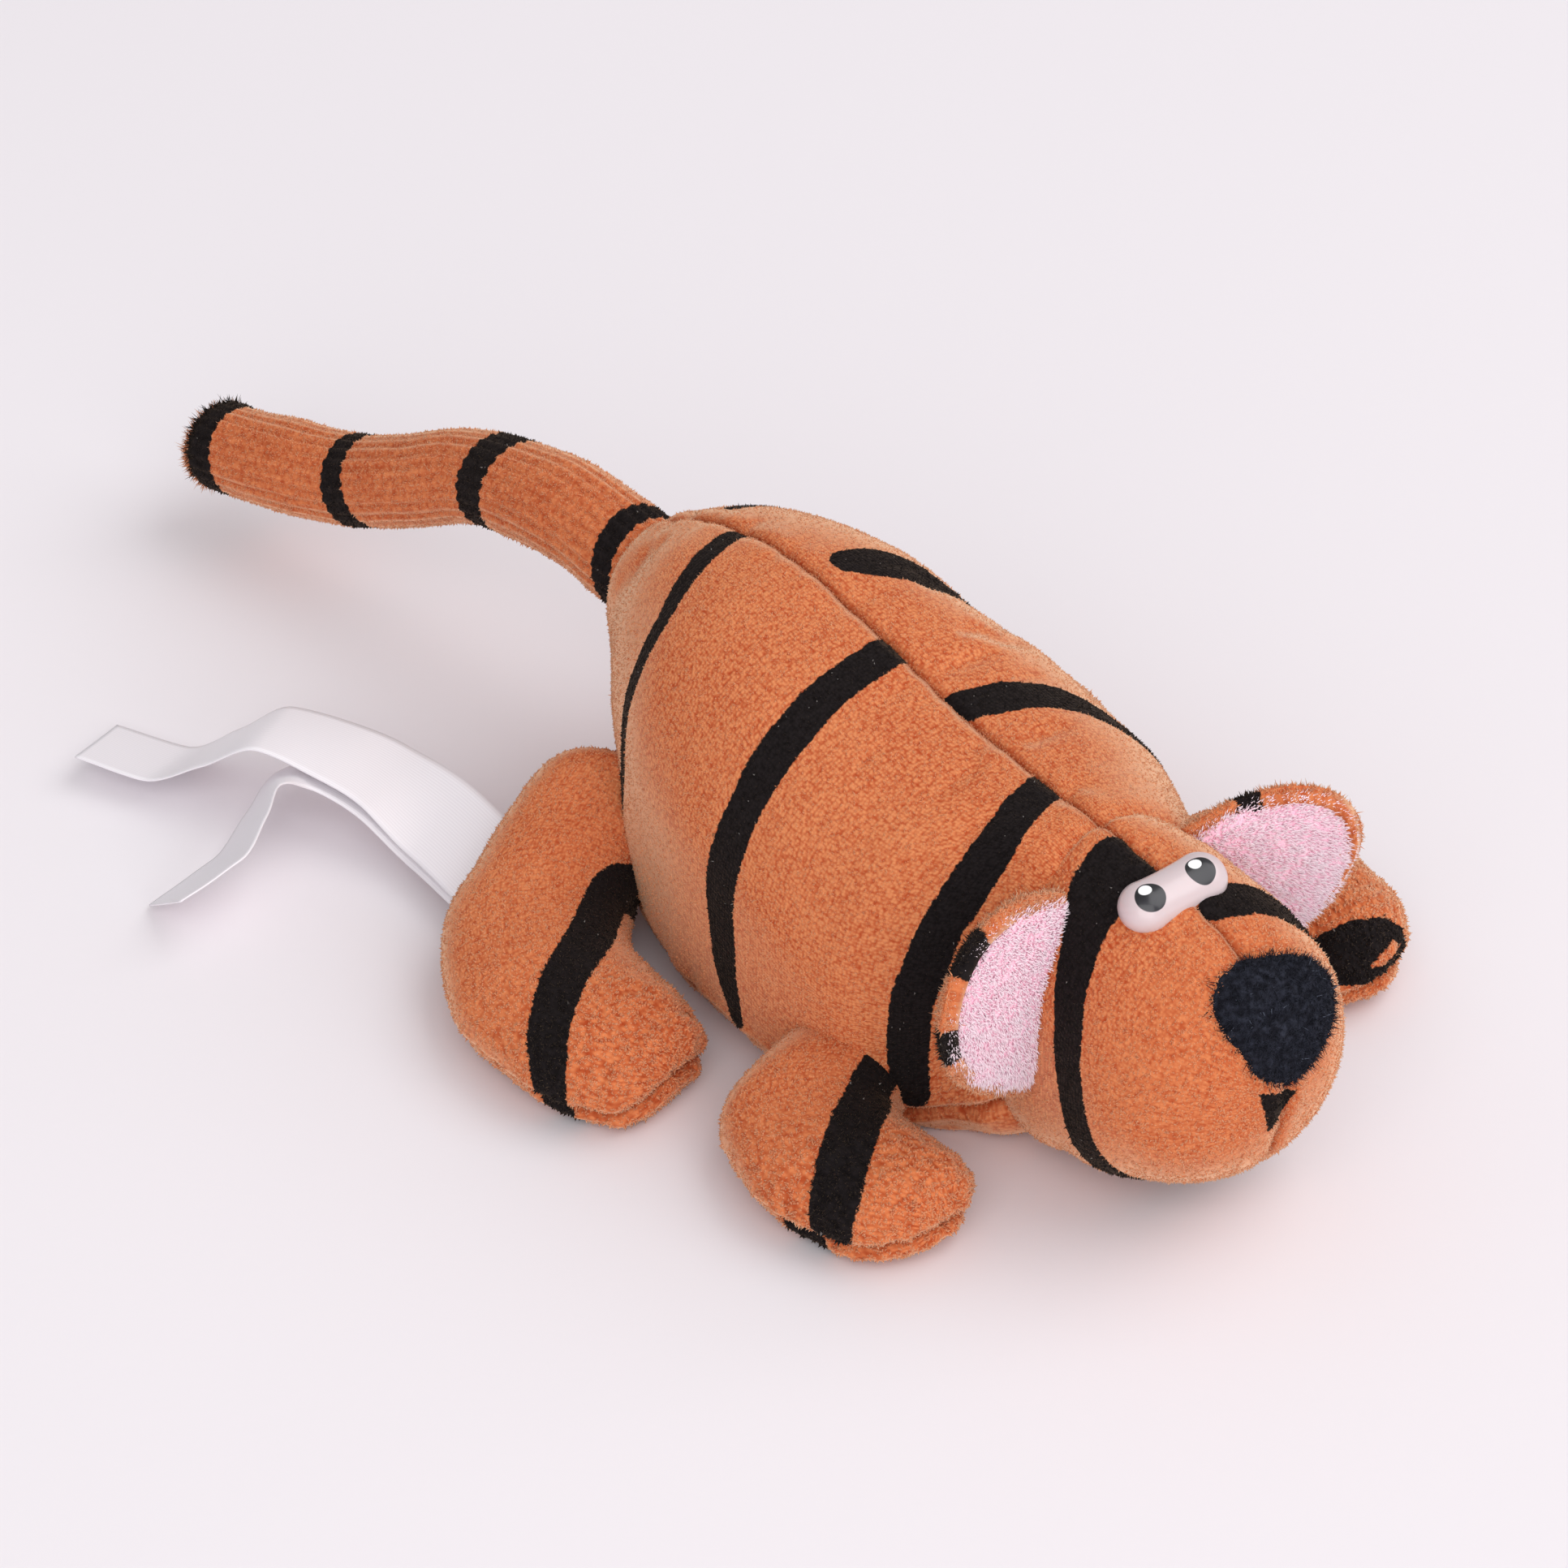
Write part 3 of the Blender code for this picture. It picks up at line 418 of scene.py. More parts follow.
@dataclass(frozen=True)
class Stuffed:
    """Cloth simulation of a panel held at its seams and blown out by its fill."""

    rows: int = 44
    columns: int = 30
    scale: float = 10.0
    pressure: float = 4.0
    frames: int = 20
    quality: int = 6
    growth: float = 0.007
    cap: float = 0.9 * MM
    inset: float = 0.35 * MM

    def settled(self, surface: Surface) -> Surface:
        """Blow a coarse copy of the panel out, and move the panel as it moved.

        The copy is larger by scale and leaves out the first and last rows, which
        may close in a point. Its edges are pinned, and its cloth is cut too big
        by growth, so that it gathers at the seams. How far a point moves is the
        cap times tanh of its distance over the cap, less the inset.

        Args:
            surface: The plain panel.
        """
        rows, columns = surface.points.shape[:2]
        picked_rows = np.linspace(1, rows - 2, self.rows).round().astype(int)
        picked_columns = np.linspace(0, columns - 1, self.columns).round().astype(int)
        coarse = surface.points[np.ix_(picked_rows, picked_columns)]
        ids = np.arange(coarse.shape[0] * coarse.shape[1]).reshape(coarse.shape[:2])
        quads = np.stack([ids[:-1, :-1], ids[:-1, 1:], ids[1:, 1:], ids[1:, :-1]], axis=-1)
        outward = grid_normals(coarse, False)
        flat = coarse.reshape(-1, 3)
        face = quads[len(quads) // 2, quads.shape[1] // 2]
        turn = np.cross(flat[face[1]] - flat[face[0]], flat[face[3]] - flat[face[0]])
        if turn @ outward.reshape(-1, 3)[face[0]] < 0:
            quads = quads[..., ::-1]
        mesh = bpy.data.meshes.new("cloth trial")
        mesh.from_pydata(flat * self.scale, [], quads.reshape(-1, 4).tolist())
        trial = bpy.data.objects.new("cloth trial", mesh)
        scene = bpy.context.scene
        scene.collection.objects.link(trial)
        border = np.concatenate([ids[0], ids[-1], ids[:, 0], ids[:, -1]])
        sewn_edge = trial.vertex_groups.new(name="sewn edge")
        sewn_edge.add(np.unique(border).tolist(), 1.0, "REPLACE")
        cloth = trial.modifiers.new("cloth", "CLOTH")
        cloth.settings.vertex_group_mass = sewn_edge.name
        cloth.settings.use_pressure = True
        cloth.settings.uniform_pressure_force = self.pressure
        cloth.settings.shrink_min = -self.growth
        cloth.settings.effector_weights.gravity = 0
        cloth.settings.quality = self.quality
        cloth.point_cache.frame_start = 1
        cloth.point_cache.frame_end = self.frames
        for step in range(1, self.frames + 1):
            scene.frame_set(step)
        shown = trial.evaluated_get(bpy.context.evaluated_depsgraph_get())
        result = np.empty(len(flat) * 3, np.float32)
        shown.data.vertices.foreach_get("co", result)
        scene.frame_set(1)
        bpy.data.objects.remove(trial)
        bpy.data.meshes.remove(mesh)
        moved = result.reshape(coarse.shape) / self.scale - coarse
        size = np.linalg.norm(moved, axis=-1, keepdims=True)
        moved = unit(moved) * self.cap * np.tanh(size / self.cap)
        LOG.info("settled: mean %.2f mm, most %.2f mm", size.mean() / MM, size.max() / MM)
        moved = spread(spread(moved, picked_columns, columns, 1), picked_rows, rows, 0)
        held = np.clip(np.linalg.norm(moved, axis=-1) / self.inset, 0, 1) * self.inset
        points = surface.points + moved - surface.normals() * held[..., None]
        return Surface(points, surface.closed, dict(surface.marks), surface.uv)


@dataclass(frozen=True)
class Seam:
    """How cloth dips, swells and puckers where two panels are sewn together."""

    depth: float = 1.0 * MM
    width: float = 0.9 * MM
    lip: float = 0.0
    lip_place: float = 1.6 * MM
    pucker: float = 0.28 * MM
    reach: float = 3.6 * MM
    pitch: float = 1.9 * MM
    seed: int = 1
    fall: float = 1.3
    lip_width_share: float = 0.55
    groove_shade_share: float = 0.8

    def sew(self, surface: Surface, line: np.ndarray) -> Surface:
        """Push a surface in and out near a seam, and mark where it dips; the finish
        paints shade into the dip from that mark.

        The push is minus depth by exp of minus the distance over width to the
        power fall, plus lip by a bell round its place, plus pucker by a bell of
        the distance over reach and by noise along the seam.

        Args:
            surface: The cloth.
            line: Close points along the seam.

        Returns:
            The sewn cloth.
        """
        gap, index = near_line(surface.points, line)
        gather = value_noise(line, self.pitch, self.seed)[index]
        push = -self.depth * np.exp(-(gap / self.width) ** self.fall)
        lip_width = self.lip_width_share * self.lip_place
        push += self.lip * np.exp(-((gap - self.lip_place) / lip_width) ** 2)
        push += self.pucker * np.exp(-(gap / self.reach) ** 2) * gather
        made = surface.pushed(push)
        # Mark for the painted shade in the seam's dip
        groove_shade = np.exp(-(gap / (self.groove_shade_share * self.width)) ** 2) * (self.depth > 0)
        made.marks[GROOVE_SHADE_MARK] = np.maximum(groove_shade, made.marks.get(GROOVE_SHADE_MARK, 0))
        return made


NECK_SEAM = Seam(
    depth=0.0, width=1.0 * MM, pucker=0.35 * MM, reach=5.0 * MM, pitch=2.2 * MM, seed=17
)


def sew_panel(cloth: Surface, first: Seam, last: Seam, neck_y: float) -> Surface:
    """Sew a panel along both its long edges, and pucker it round the neck.

    Args:
        cloth: The panel, its first rows at the neck.
        first: Seam along its first column.
        last: Seam along its last column.
        neck_y: Where the neck is.

    Returns:
        The sewn panel.
    """
    middle = cloth.points[:NECK_ROWS, cloth.points.shape[1] // 2, 1]
    neck = cloth.points[np.abs(middle - neck_y).argmin()]
    lines = cloth.points[:, 0], cloth.points[:, -1], neck
    for seam, line in zip((first, last, NECK_SEAM), lines):
        cloth = seam.sew(cloth, line)
    return cloth


@dataclass(frozen=True)
class Lumps:
    """How stuffing swells a surface unevenly: smooth noise of one height and size."""

    height: float
    size: float
    seed: int

    def swell(self, surface: Surface) -> Surface:
        """The surface pushed out and in by the noise at its points."""
        return surface.pushed(self.height * value_noise(surface.points, self.size, self.seed))


def on_floor(surface: Surface) -> Surface:
    """Press what is below the floor flat onto it."""
    surface.points[..., 2] = np.maximum(surface.points[..., 2], 0)
    return surface


# Prints


@dataclass(frozen=True)
class Stripe:
    """A printed stripe as rows of x, y, z and width in mm along its middle."""

    rows: tuple[tuple[float, float, float, float], ...]
    steps: int = 110

    def distance(self, places_mm: np.ndarray, normals: np.ndarray) -> np.ndarray:
        """Distance in mm from the stripe's edge, below 0 inside it.

        The middle line is laid on the surface along the nearest normal, and
        the distance is the least of those to its steps less half the width.

        Args:
            places_mm: Points of the surface, in mm.
            normals: Outward directions there.

        Returns:
            One distance for each point.
        """
        rows = np.array(self.rows)
        line = pchip(np.arange(len(rows)), rows, np.linspace(0, len(rows) - 1, self.steps))
        near = np.linalg.norm(places_mm[:, None] - line[None, :, :3], axis=-1).argmin(axis=0)
        lift = ((line[:, :3] - places_mm[near]) * normals[near]).sum(axis=-1)
        laid = line[:, :3] - normals[near] * lift[:, None]
        gaps = np.linalg.norm(places_mm[:, None] - laid[None], axis=-1)
        return (gaps - line[None, :, 3] / 2).min(axis=1) - INK_SPREAD_MM


def printed(surface: Surface, stripes: tuple[Stripe, ...]) -> Surface:
    """Mark a surface with its distance from the nearest stripe's edge.

    Args:
        surface: The cloth.
        stripes: What is printed on it.

    Returns:
        The same surface.
    """
    places = surface.points.reshape(-1, 3) / MM
    normals = surface.normals().reshape(-1, 3)
    least = np.full(len(places), NO_PRINT_MM)
    for stripe in stripes:
        least = np.minimum(least, stripe.distance(places, normals))
    surface.marks[PRINT_MARK] = least.reshape(surface.points.shape[:2])
    surface.marks.setdefault(SHAG_MARK, np.zeros(surface.points.shape[:2]))
    return surface


# Pile


@dataclass(frozen=True)
class Pile:
    """Fibres on a cloth: three-sided spikes that lean and curl."""

    density: float
    length: float
    width: float
    lean: float = 0.6
    curl: float = 0.2
    rings: int = 1
    shag: float = 0.0
    seed: int = 7
    loose_share: float = 0.5
    shortest: float = 0.6
    length_range: float = 0.8
    taper: float = 0.6
    root_depth: float = 0.1 * MM
    knit_spread: float = 0.1 * MM
    bake_spread: float = 0.002

    def piece(
        self, name: str, surface: Surface, material: Material, comb: np.ndarray | None = None
    ) -> Object:
        """Root spikes on a surface at random, as many as its area asks.

        A spike's middle line is its root plus the share of its length along
        the leaning direction, bent by the share squared along a random one.

        Args:
            name: Name of the piece.
            surface: Where the fibres stand.
            material: Their finish.
            comb: Direction they are combed in at each grid point, if any.

        Returns:
            The new object.
        """
        draw = np.random.default_rng(self.seed)
        grid, normals = surface.points, surface.normals()
        if surface.closed:
            grid = np.concatenate([grid, grid[:, :1]], axis=1)
            normals = np.concatenate([normals, normals[:, :1]], axis=1)
        side = grid[1:, :-1] - grid[:-1, :-1]
        across = grid[:-1, 1:] - grid[:-1, :-1]
        area = np.linalg.norm(np.cross(side, across), axis=-1).ravel()
        count = int(min(self.density * area.sum() / MM ** 2, LARGEST_COAT))
        face = draw.choice(area.size, count, p=area / area.sum())
        row, column = np.unravel_index(face, (grid.shape[0] - 1, grid.shape[1] - 1))
        u, v = draw.random((2, count))

        def read(values: np.ndarray) -> np.ndarray:
            """Values at the roots, mixed from their face's corners.

            Args:
                values: One for each grid point.

            Returns:
                One for each root.
            """
            if surface.closed and values.shape[1] == grid.shape[1] - 1:
                values = np.concatenate([values, values[:, :1]], axis=1)
            extra = (1,) * (values.ndim - 2)
            s, t = u.reshape(-1, *extra), v.reshape(-1, *extra)
            return (
                values[row, column] * (1 - s) * (1 - t) + values[row + 1, column] * s * (1 - t)
                + values[row, column + 1] * (1 - s) * t + values[row + 1, column + 1] * s * t
            )

        roots, upward = read(grid), unit(read(normals))
        loose = draw.normal(size=(2, count, 3))
        lean = self.lean * unit(loose[0])
        if comb is not None:
            lean = lean * self.loose_share + read(comb)
        aim = unit(upward + lean)
        bend = loose[1] * self.curl
        length = self.length * (self.shortest + self.length_range * draw.random(count))
        width = np.full(count, self.width)
        if SHAG_MARK in surface.marks:
            shaggy = 1 + self.shag * read(surface.marks[SHAG_MARK])
            length, width = length * shaggy, width * shaggy
        frame_u = unit(np.cross(aim, loose[0] + 0.01))
        frame_v = np.cross(aim, frame_u)
        turns = np.arange(3) * 2 * math.pi / 3
        cosine, sine = np.cos(turns)[:, None], np.sin(turns)[:, None]
        spokes = frame_u[:, None] * cosine + frame_v[:, None] * sine
        levels = []
        for ring in range(self.rings):
            share = ring / self.rings
            middle = roots + (aim * share + bend * share ** 2) * length[:, None]
            middle = middle - upward * self.root_depth
            narrow = 1 - self.taper * share
            levels.append(middle[:, None] + width[:, None, None] / 2 * narrow * spokes)
        tips = roots + (aim + bend) * length[:, None]
        points = np.concatenate([np.concatenate(levels, axis=1), tips[:, None]], axis=1)
        points[..., 2] = np.maximum(points[..., 2], 0)
        each = points.shape[1]
        faces = [(2, 1, 0)]
        for ring in range(self.rings):
            for corner in range(3):
                low, high = 3 * ring + corner, 3 * ring + (corner + 1) % 3
                if ring == self.rings - 1:
                    faces.append((low, high, each - 1))
                else:
                    faces += [(low, high, high + 3), (low, high + 3, low + 3)]
        every = np.array(faces)[None] + each * np.arange(count)[:, None, None]
        every = every.reshape(-1, 3)
        marks = {mark: np.repeat(read(values), each) for mark, values in surface.marks.items()}
        share = np.append(np.repeat(np.arange(self.rings) / self.rings, 3), 1.0)
        marks[TIP_MARK] = np.tile(share, count)
        marks[CHANCE_MARK] = np.repeat(draw.random(count), each)
        uvs = {}
        for layer, uv in surface.sheet_uvs().items():
            wide = self.bake_spread if layer == BAKE_UV else self.knit_spread
            ring_uv = wide * np.stack([np.cos(turns), np.sin(turns)], axis=-1)
            around = np.concatenate([np.tile(ring_uv, (self.rings, 1)), [[0, 0]]])
            uvs[layer] = (read(uv)[:, None] + around[None]).reshape(-1, 2)[every.ravel()]
        return mesh_piece(name, points.reshape(-1, 3), every.tolist(), material, uvs, marks)


# Finishes


def linear(code: str) -> tuple[float, float, float, float]:
    """Linear colour from an sRGB hex code.

    Args:
        code: Six hex digits.

    Returns:
        Red, green, blue and 1.
    """
    shares = np.array([int(code[place:place + 2], 16) / 255 for place in (0, 2, 4)])
    values = np.where(shares > 0.04045, ((shares + 0.055) / 1.055) ** 2.4, shares / 12.92)
    return (*values.tolist(), 1.0)


def add_node(
    tree: NodeTree, kind: str, inputs: dict | None = None, output: int | str = 0,
    **settings: object,
) -> NodeSocket | None:
    """Add a shader node with its settings, and set or link its inputs.

    Args:
        tree: The material's nodes.
        kind: Node type, without the leading ShaderNode.
        inputs: Values or sockets by input name or number.
        output: Name or number of the socket to give back.
        settings: Properties of the node.

    Returns:
        That socket, if the node has any.
    """
    made = tree.nodes.new("ShaderNode" + kind)
    for name, value in settings.items():
        setattr(made, name, value)
    for name, value in (inputs or {}).items():
        if isinstance(value, NodeSocket):
            tree.links.new(value, made.inputs[name])
        else:
            made.inputs[name].default_value = value
    return made.outputs[output] if made.outputs else None


@dataclass(frozen=True)
class Finish:
    """What every material has: a name, and a shader of its own."""

    name: str

    def shader(self, tree: NodeTree) -> NodeSocket:
        """The shader's output, built by each kind of finish."""
        raise NotImplementedError

    def material(self) -> Material:
        """Make the material, with this finish's nodes alone.

        Returns:
            The material.
        """
        material = bpy.data.materials.new(self.name)
        material.use_nodes = True
        tree = material.node_tree
        tree.nodes.clear()
        add_node(tree, "OutputMaterial", {"Surface": self.shader(tree)})
        return material


@dataclass(frozen=True)
class VelourKnit(Finish):
    """Velour: a polyester weft knit, napped and sheared, printed in black.

    Its cut loops show as small tufts in rows, 0.46 mm apart on the body and
    0.85 mm where it is stretched over the feet and the tail. Their tone is the
    knit's grain with light and shade painted in: paler at the tufts' middles as
    painted light, redder between them as painted shade, and paler on the fibres'
    tips as a painted sheen. The dips of seams and ribs are painted darker, as
    shade. Most of its sheen is painted too: a paler colour where the pile is seen
    from the side, and the print has none of it.
    """

    name: str = "velour knit, printed"
    # Tone of tufts and gaps: the knit's grain, with painted light on the tufts and painted shade
    # between them
    tip: str = "DD8B5B"
    deep: str = "AF4420"
    shag_tip: str = "DB8252"
    shag_deep: str = "A43C18"
    # Painted shade in the dips of seams and between the tail's ribs
    groove_shade: str = "963A18"
    # Painted sheen on the fibres' tips
    pale: str = "E8AA83"
    ink: str = "0D090A"
    worn_ink: str = "1E191A"
    lint: str = "7E7976"
    # Painted sheen: the paler colour where the pile is seen from the side
    edge: str = "F5C8A4"
    sheen: str = "FBD3AF"
    fine_mm: float = 0.46
    coarse_mm: float = 0.85
    speck_mm: float = 0.5
    patch_mm: float = 14.0
    fray_mm: float = 0.3
    fray_grain_mm: float = 0.55
    # How much tufts, specks, patches and each fibre's chance count in the tone
    tone_shares: tuple = (0.75, 0.4, 0.25, 0.15)
    tone_range: tuple = (0.2, 1.15)
    groove_shade_share: float = 0.6
    tip_sheen_share: float = 0.6
    sheen_range: tuple = (0.38, 0.95)
    sheen_share: float = 0.88
    lint_from: float = 0.994
    bump: float = 0.45

    def tufts(self, tree: NodeTree, knit: NodeSocket, cell_mm: float) -> NodeSocket:
        """How near the nearest tuft's middle is, in rows of the knit.

        Args:
            tree: The material's nodes.
            knit: The knit's own coordinates.
            cell_mm: Size of one tuft.

        Returns:
            1 at a tuft's middle, 0 between tufts.
        """
        rows = add_node(tree, "Mapping", {
            "Vector": knit, "Scale": (1 / (cell_mm * MM), 1 / (cell_mm * 0.9 * MM), 1),
        })
        far = add_node(tree, "TexVoronoi", {
            "Vector": rows, "Scale": 1.0, "Randomness": 0.5,
        }, "Distance", feature="SMOOTH_F1")
        return add_node(tree, "MapRange", {0: far, 1: 0.1, 2: 0.75, 3: 1.0, 4: 0.0}, **EASED)

    def shader(self, tree: NodeTree) -> NodeSocket:
        """Build the shader from Voronoi tufts, fine noise and the marks.

        Args:
            tree: The material's nodes.

        Returns:
            The shader's output.
        """
        knit = add_node(tree, "UVMap", uv_map=UV_NAME)
        place = add_node(tree, "TexCoord", output="Object")
        shag, chance, groove_shade, risen, printed_mm = (
            add_node(tree, "Attribute", output="Fac", attribute_name=mark)
            for mark in (SHAG_MARK, CHANCE_MARK, GROOVE_SHADE_MARK, TIP_MARK, PRINT_MARK)
        )
        fine, broad, fray = (
            add_node(tree, "TexNoise", {
                "Vector": place, "Scale": 1 / (grain_mm * MM), "Detail": detail,
            })
            for grain_mm, detail in (
                (self.speck_mm, 2.0), (self.patch_mm, 1.0), (self.fray_grain_mm, 1.0),
            )
        )
        # Tufts: the knit's grain, their middles painted paler as light and the gaps redder as
        # painted shade
        small, large = (
            self.tufts(tree, knit, cell_mm) for cell_mm in (self.fine_mm, self.coarse_mm)
        )
        tuft = add_node(tree, "Mix", {0: shag, 2: small, 3: large}, data_type="FLOAT")
        tone, *others = (
            add_node(tree, "Math", {0: part, 1: share}, **TIMES)
            for part, share in zip((tuft, fine, broad, chance), self.tone_shares)
        )
        for part in others:
            tone = add_node(tree, "Math", {0: tone, 1: part}, **PLUS)
        low, high = self.tone_range
        tone = add_node(tree, "MapRange", {0: tone, 1: low, 2: high}, **EASED)
        short, long = (
            add_node(tree, "Mix", {0: tone, 6: linear(dark), 7: linear(light)}, **COLOURS)
            for dark, light in ((self.deep, self.tip), (self.shag_deep, self.shag_tip))
        )
        cloth = add_node(tree, "Mix", {0: shag, 6: short, 7: long}, **COLOURS)
        # Painted shade in dips; it also takes the painted sheen away there
        shade_in_dips = add_node(tree, "Math", {0: groove_shade, 1: self.groove_shade_share}, **TIMES)
        # Painted sheen: fibres are paler towards their tips
        risen = add_node(tree, "Math", {0: risen, 1: self.tip_sheen_share}, **TIMES)
        # Painted sheen: the base colour pales where the surface is seen side on, less in dips
        facing = add_node(tree, "LayerWeight", {"Blend": 0.5}, "Facing")
        low, high = self.sheen_range
        soft = add_node(tree, "MapRange", {
            0: facing, 1: low, 2: high, 3: 0.0, 4: self.sheen_share,
        }, **EASED)
        soft = add_node(tree, "Math", {0: soft, 1: shade_in_dips}, **LESS)
        soft = add_node(tree, "Math", {0: soft, 1: 0.0}, operation="MAXIMUM")
        # Mix in the painted shade in dips, the painted sheen on fibre tips and the painted sheen on
        # edges seen side on
        for share, colour in ((shade_in_dips, self.groove_shade), (risen, self.pale), (soft, self.edge)):
            cloth = add_node(tree, "Mix", {0: share, 6: cloth, 7: linear(colour)}, **COLOURS)
        ragged = add_node(tree, "Math", {0: fray, 1: 0.5}, **LESS)
        ragged = add_node(tree, "Math", {0: ragged, 1: self.fray_mm * 2}, **TIMES)
        ragged = add_node(tree, "Math", {0: printed_mm, 1: ragged}, **PLUS)
        inked = add_node(tree, "MapRange", {0: ragged, 1: -0.1, 2: 0.1, 3: 1.0, 4: 0.0}, **EASED)
        stray = add_node(tree, "MapRange", {
            0: chance, 1: self.lint_from, 2: self.lint_from + 0.001,
        }, **EASED)
        ink = add_node(tree, "Mix", {
            0: tone, 6: linear(self.ink), 7: linear(self.worn_ink),
        }, **COLOURS)
        ink = add_node(tree, "Mix", {0: stray, 6: ink, 7: linear(self.lint)}, **COLOURS)
        height = add_node(tree, "Math", {0: fine, 1: 0.9}, **TIMES)
        height = add_node(tree, "Math", {0: tuft, 1: height}, **PLUS)
        return add_node(tree, "BsdfPrincipled", {
            "Base Color": add_node(tree, "Mix", {0: inked, 6: cloth, 7: ink}, **COLOURS),
            "Roughness": 0.92, "Specular IOR Level": 0.12,
            "Normal": add_node(tree, "Bump", {
                "Height": height, "Strength": self.bump, "Distance": 0.2 * MM,
            }),
            "Sheen Weight": 0.12, "Sheen Roughness": 0.4, "Sheen Tint": linear(self.sheen),
        })


@dataclass(frozen=True)
class PinkPlush(Finish):
    """Pink plush: an unsheared polyester pile 0.65 mm long, whiter at its tips."""

    name: str = "pink plush, long pile"
    tip: str = "FFEEF5"
    root: str = "FFC6DB"
    streak_mm: float = 1.4

    def shader(self, tree: NodeTree) -> NodeSocket:
        """Build the shader from soft streaks of noise.

        Args:
            tree: The material's nodes.

        Returns:
            The shader's output.
        """
        streak = add_node(tree, "TexNoise", {
            "Vector": add_node(tree, "TexCoord", output="Object"),
            "Scale": 1 / (self.streak_mm * MM), "Detail": 2.0,
        })
        risen = add_node(tree, "Attribute", output="Fac", attribute_name=TIP_MARK)
        halves = (add_node(tree, "Math", {0: part, 1: 0.5}, **TIMES) for part in (risen, streak))
        share = add_node(tree, "Math", dict(enumerate(halves)), **PLUS)
        share = add_node(tree, "MapRange", {0: share, 1: 0.0, 2: 0.8}, **EASED)
        return add_node(tree, "BsdfPrincipled", {
            "Base Color": add_node(tree, "Mix", {
                0: share, 6: linear(self.root), 7: linear(self.tip),
            }, **COLOURS),
            "Roughness": 0.95, "Specular IOR Level": 0.1,
            "Sheen Weight": 0.5, "Sheen Roughness": 0.5, "Sheen Tint": linear(self.tip),
        })


@dataclass(frozen=True)
class NavyFuzz(Finish):
    """Navy-black fuzz: a brushed curly pile that hides its knit and eats light."""

    name: str = "navy fuzz, brushed"
    dark: str = "17171E"
    lit: str = "30323D"
    stray: str = "5D6270"
    sheen: str = "8C93A8"
    clump_mm: float = 0.8

    def shader(self, tree: NodeTree) -> NodeSocket:
        """Build the shader from clumps of noise.

        Args:
            tree: The material's nodes.

        Returns:
            The shader's output.
        """
        clump = add_node(tree, "TexNoise", {
            "Vector": add_node(tree, "TexCoord", output="Object"),
            "Scale": 1 / (self.clump_mm * MM), "Detail": 4.0,
        })
        chance = add_node(tree, "Attribute", output="Fac", attribute_name=CHANCE_MARK)
        share = add_node(tree, "MapRange", {0: clump, 1: 0.35, 2: 0.75}, **EASED)
        stray = add_node(tree, "MapRange", {0: chance, 1: 0.985, 2: 0.99}, **EASED)
        colour = add_node(tree, "Mix", {
            0: share, 6: linear(self.dark), 7: linear(self.lit),
        }, **COLOURS)
        colour = add_node(tree, "Mix", {0: stray, 6: colour, 7: linear(self.stray)}, **COLOURS)
        return add_node(tree, "BsdfPrincipled", {
            "Base Color": colour, "Roughness": 0.95, "Specular IOR Level": 0.12,
            "Normal": add_node(tree, "Bump", {
                "Height": clump, "Strength": 0.8, "Distance": 0.4 * MM,
            }),
            "Sheen Weight": 0.12, "Sheen Roughness": 0.5, "Sheen Tint": linear(self.sheen),
        })


@dataclass(frozen=True)
class MilkyPlastic(Finish):
    """Injection-moulded milky polystyrene: cloudy, glossy, a little pink,
    with pupils pad-printed under the gloss and a white glint drawn on each."""

    name: str = "moulded plastic, milky"
    milk: str = "D5C4C6"
    pupil: str = "232228"
    rim: str = "131216"
    glint: str = "FFFFFF"

    def shader(self, tree: NodeTree) -> NodeSocket:
        """Build the shader from the pupil and glint marks.

        Args:
            tree: The material's nodes.

        Returns:
            The shader's output.
        """
        pupil, brow, glint = (
            add_node(tree, "Attribute", output="Fac", attribute_name=mark)
            for mark in ("pupil_mm", "brow_mm", "glint_mm")
        )
        depth = add_node(tree, "MapRange", {0: brow, 1: -0.5, 2: 1.0}, **EASED)
        inside, spot = (
            add_node(tree, "MapRange", {0: mark, 1: -0.04, 2: 0.04, 3: 1.0, 4: 0.0}, **EASED)
            for mark in (pupil, glint)
        )
        black = add_node(tree, "Mix", {
            0: depth, 6: linear(self.pupil), 7: linear(self.rim),
        }, **COLOURS)
        colour = add_node(tree, "Mix", {0: inside, 6: linear(self.milk), 7: black}, **COLOURS)
        colour = add_node(tree, "Mix", {0: spot, 6: colour, 7: linear(self.glint)}, **COLOURS)
        cloudy = add_node(tree, "Math", {0: 1.0, 1: inside}, **LESS)
        cloudy = add_node(tree, "Math", {0: cloudy, 1: 0.4}, **TIMES)
        return add_node(tree, "BsdfPrincipled", {
            "Base Color": colour, "Roughness": 0.28, "IOR": 1.55,
            "Subsurface Weight": cloudy,
            "Subsurface Radius": (1.0, 0.75, 0.7), "Subsurface Scale": 0.8 * MM,
            "Coat Weight": 0.2, "Coat Roughness": 0.1,
        })


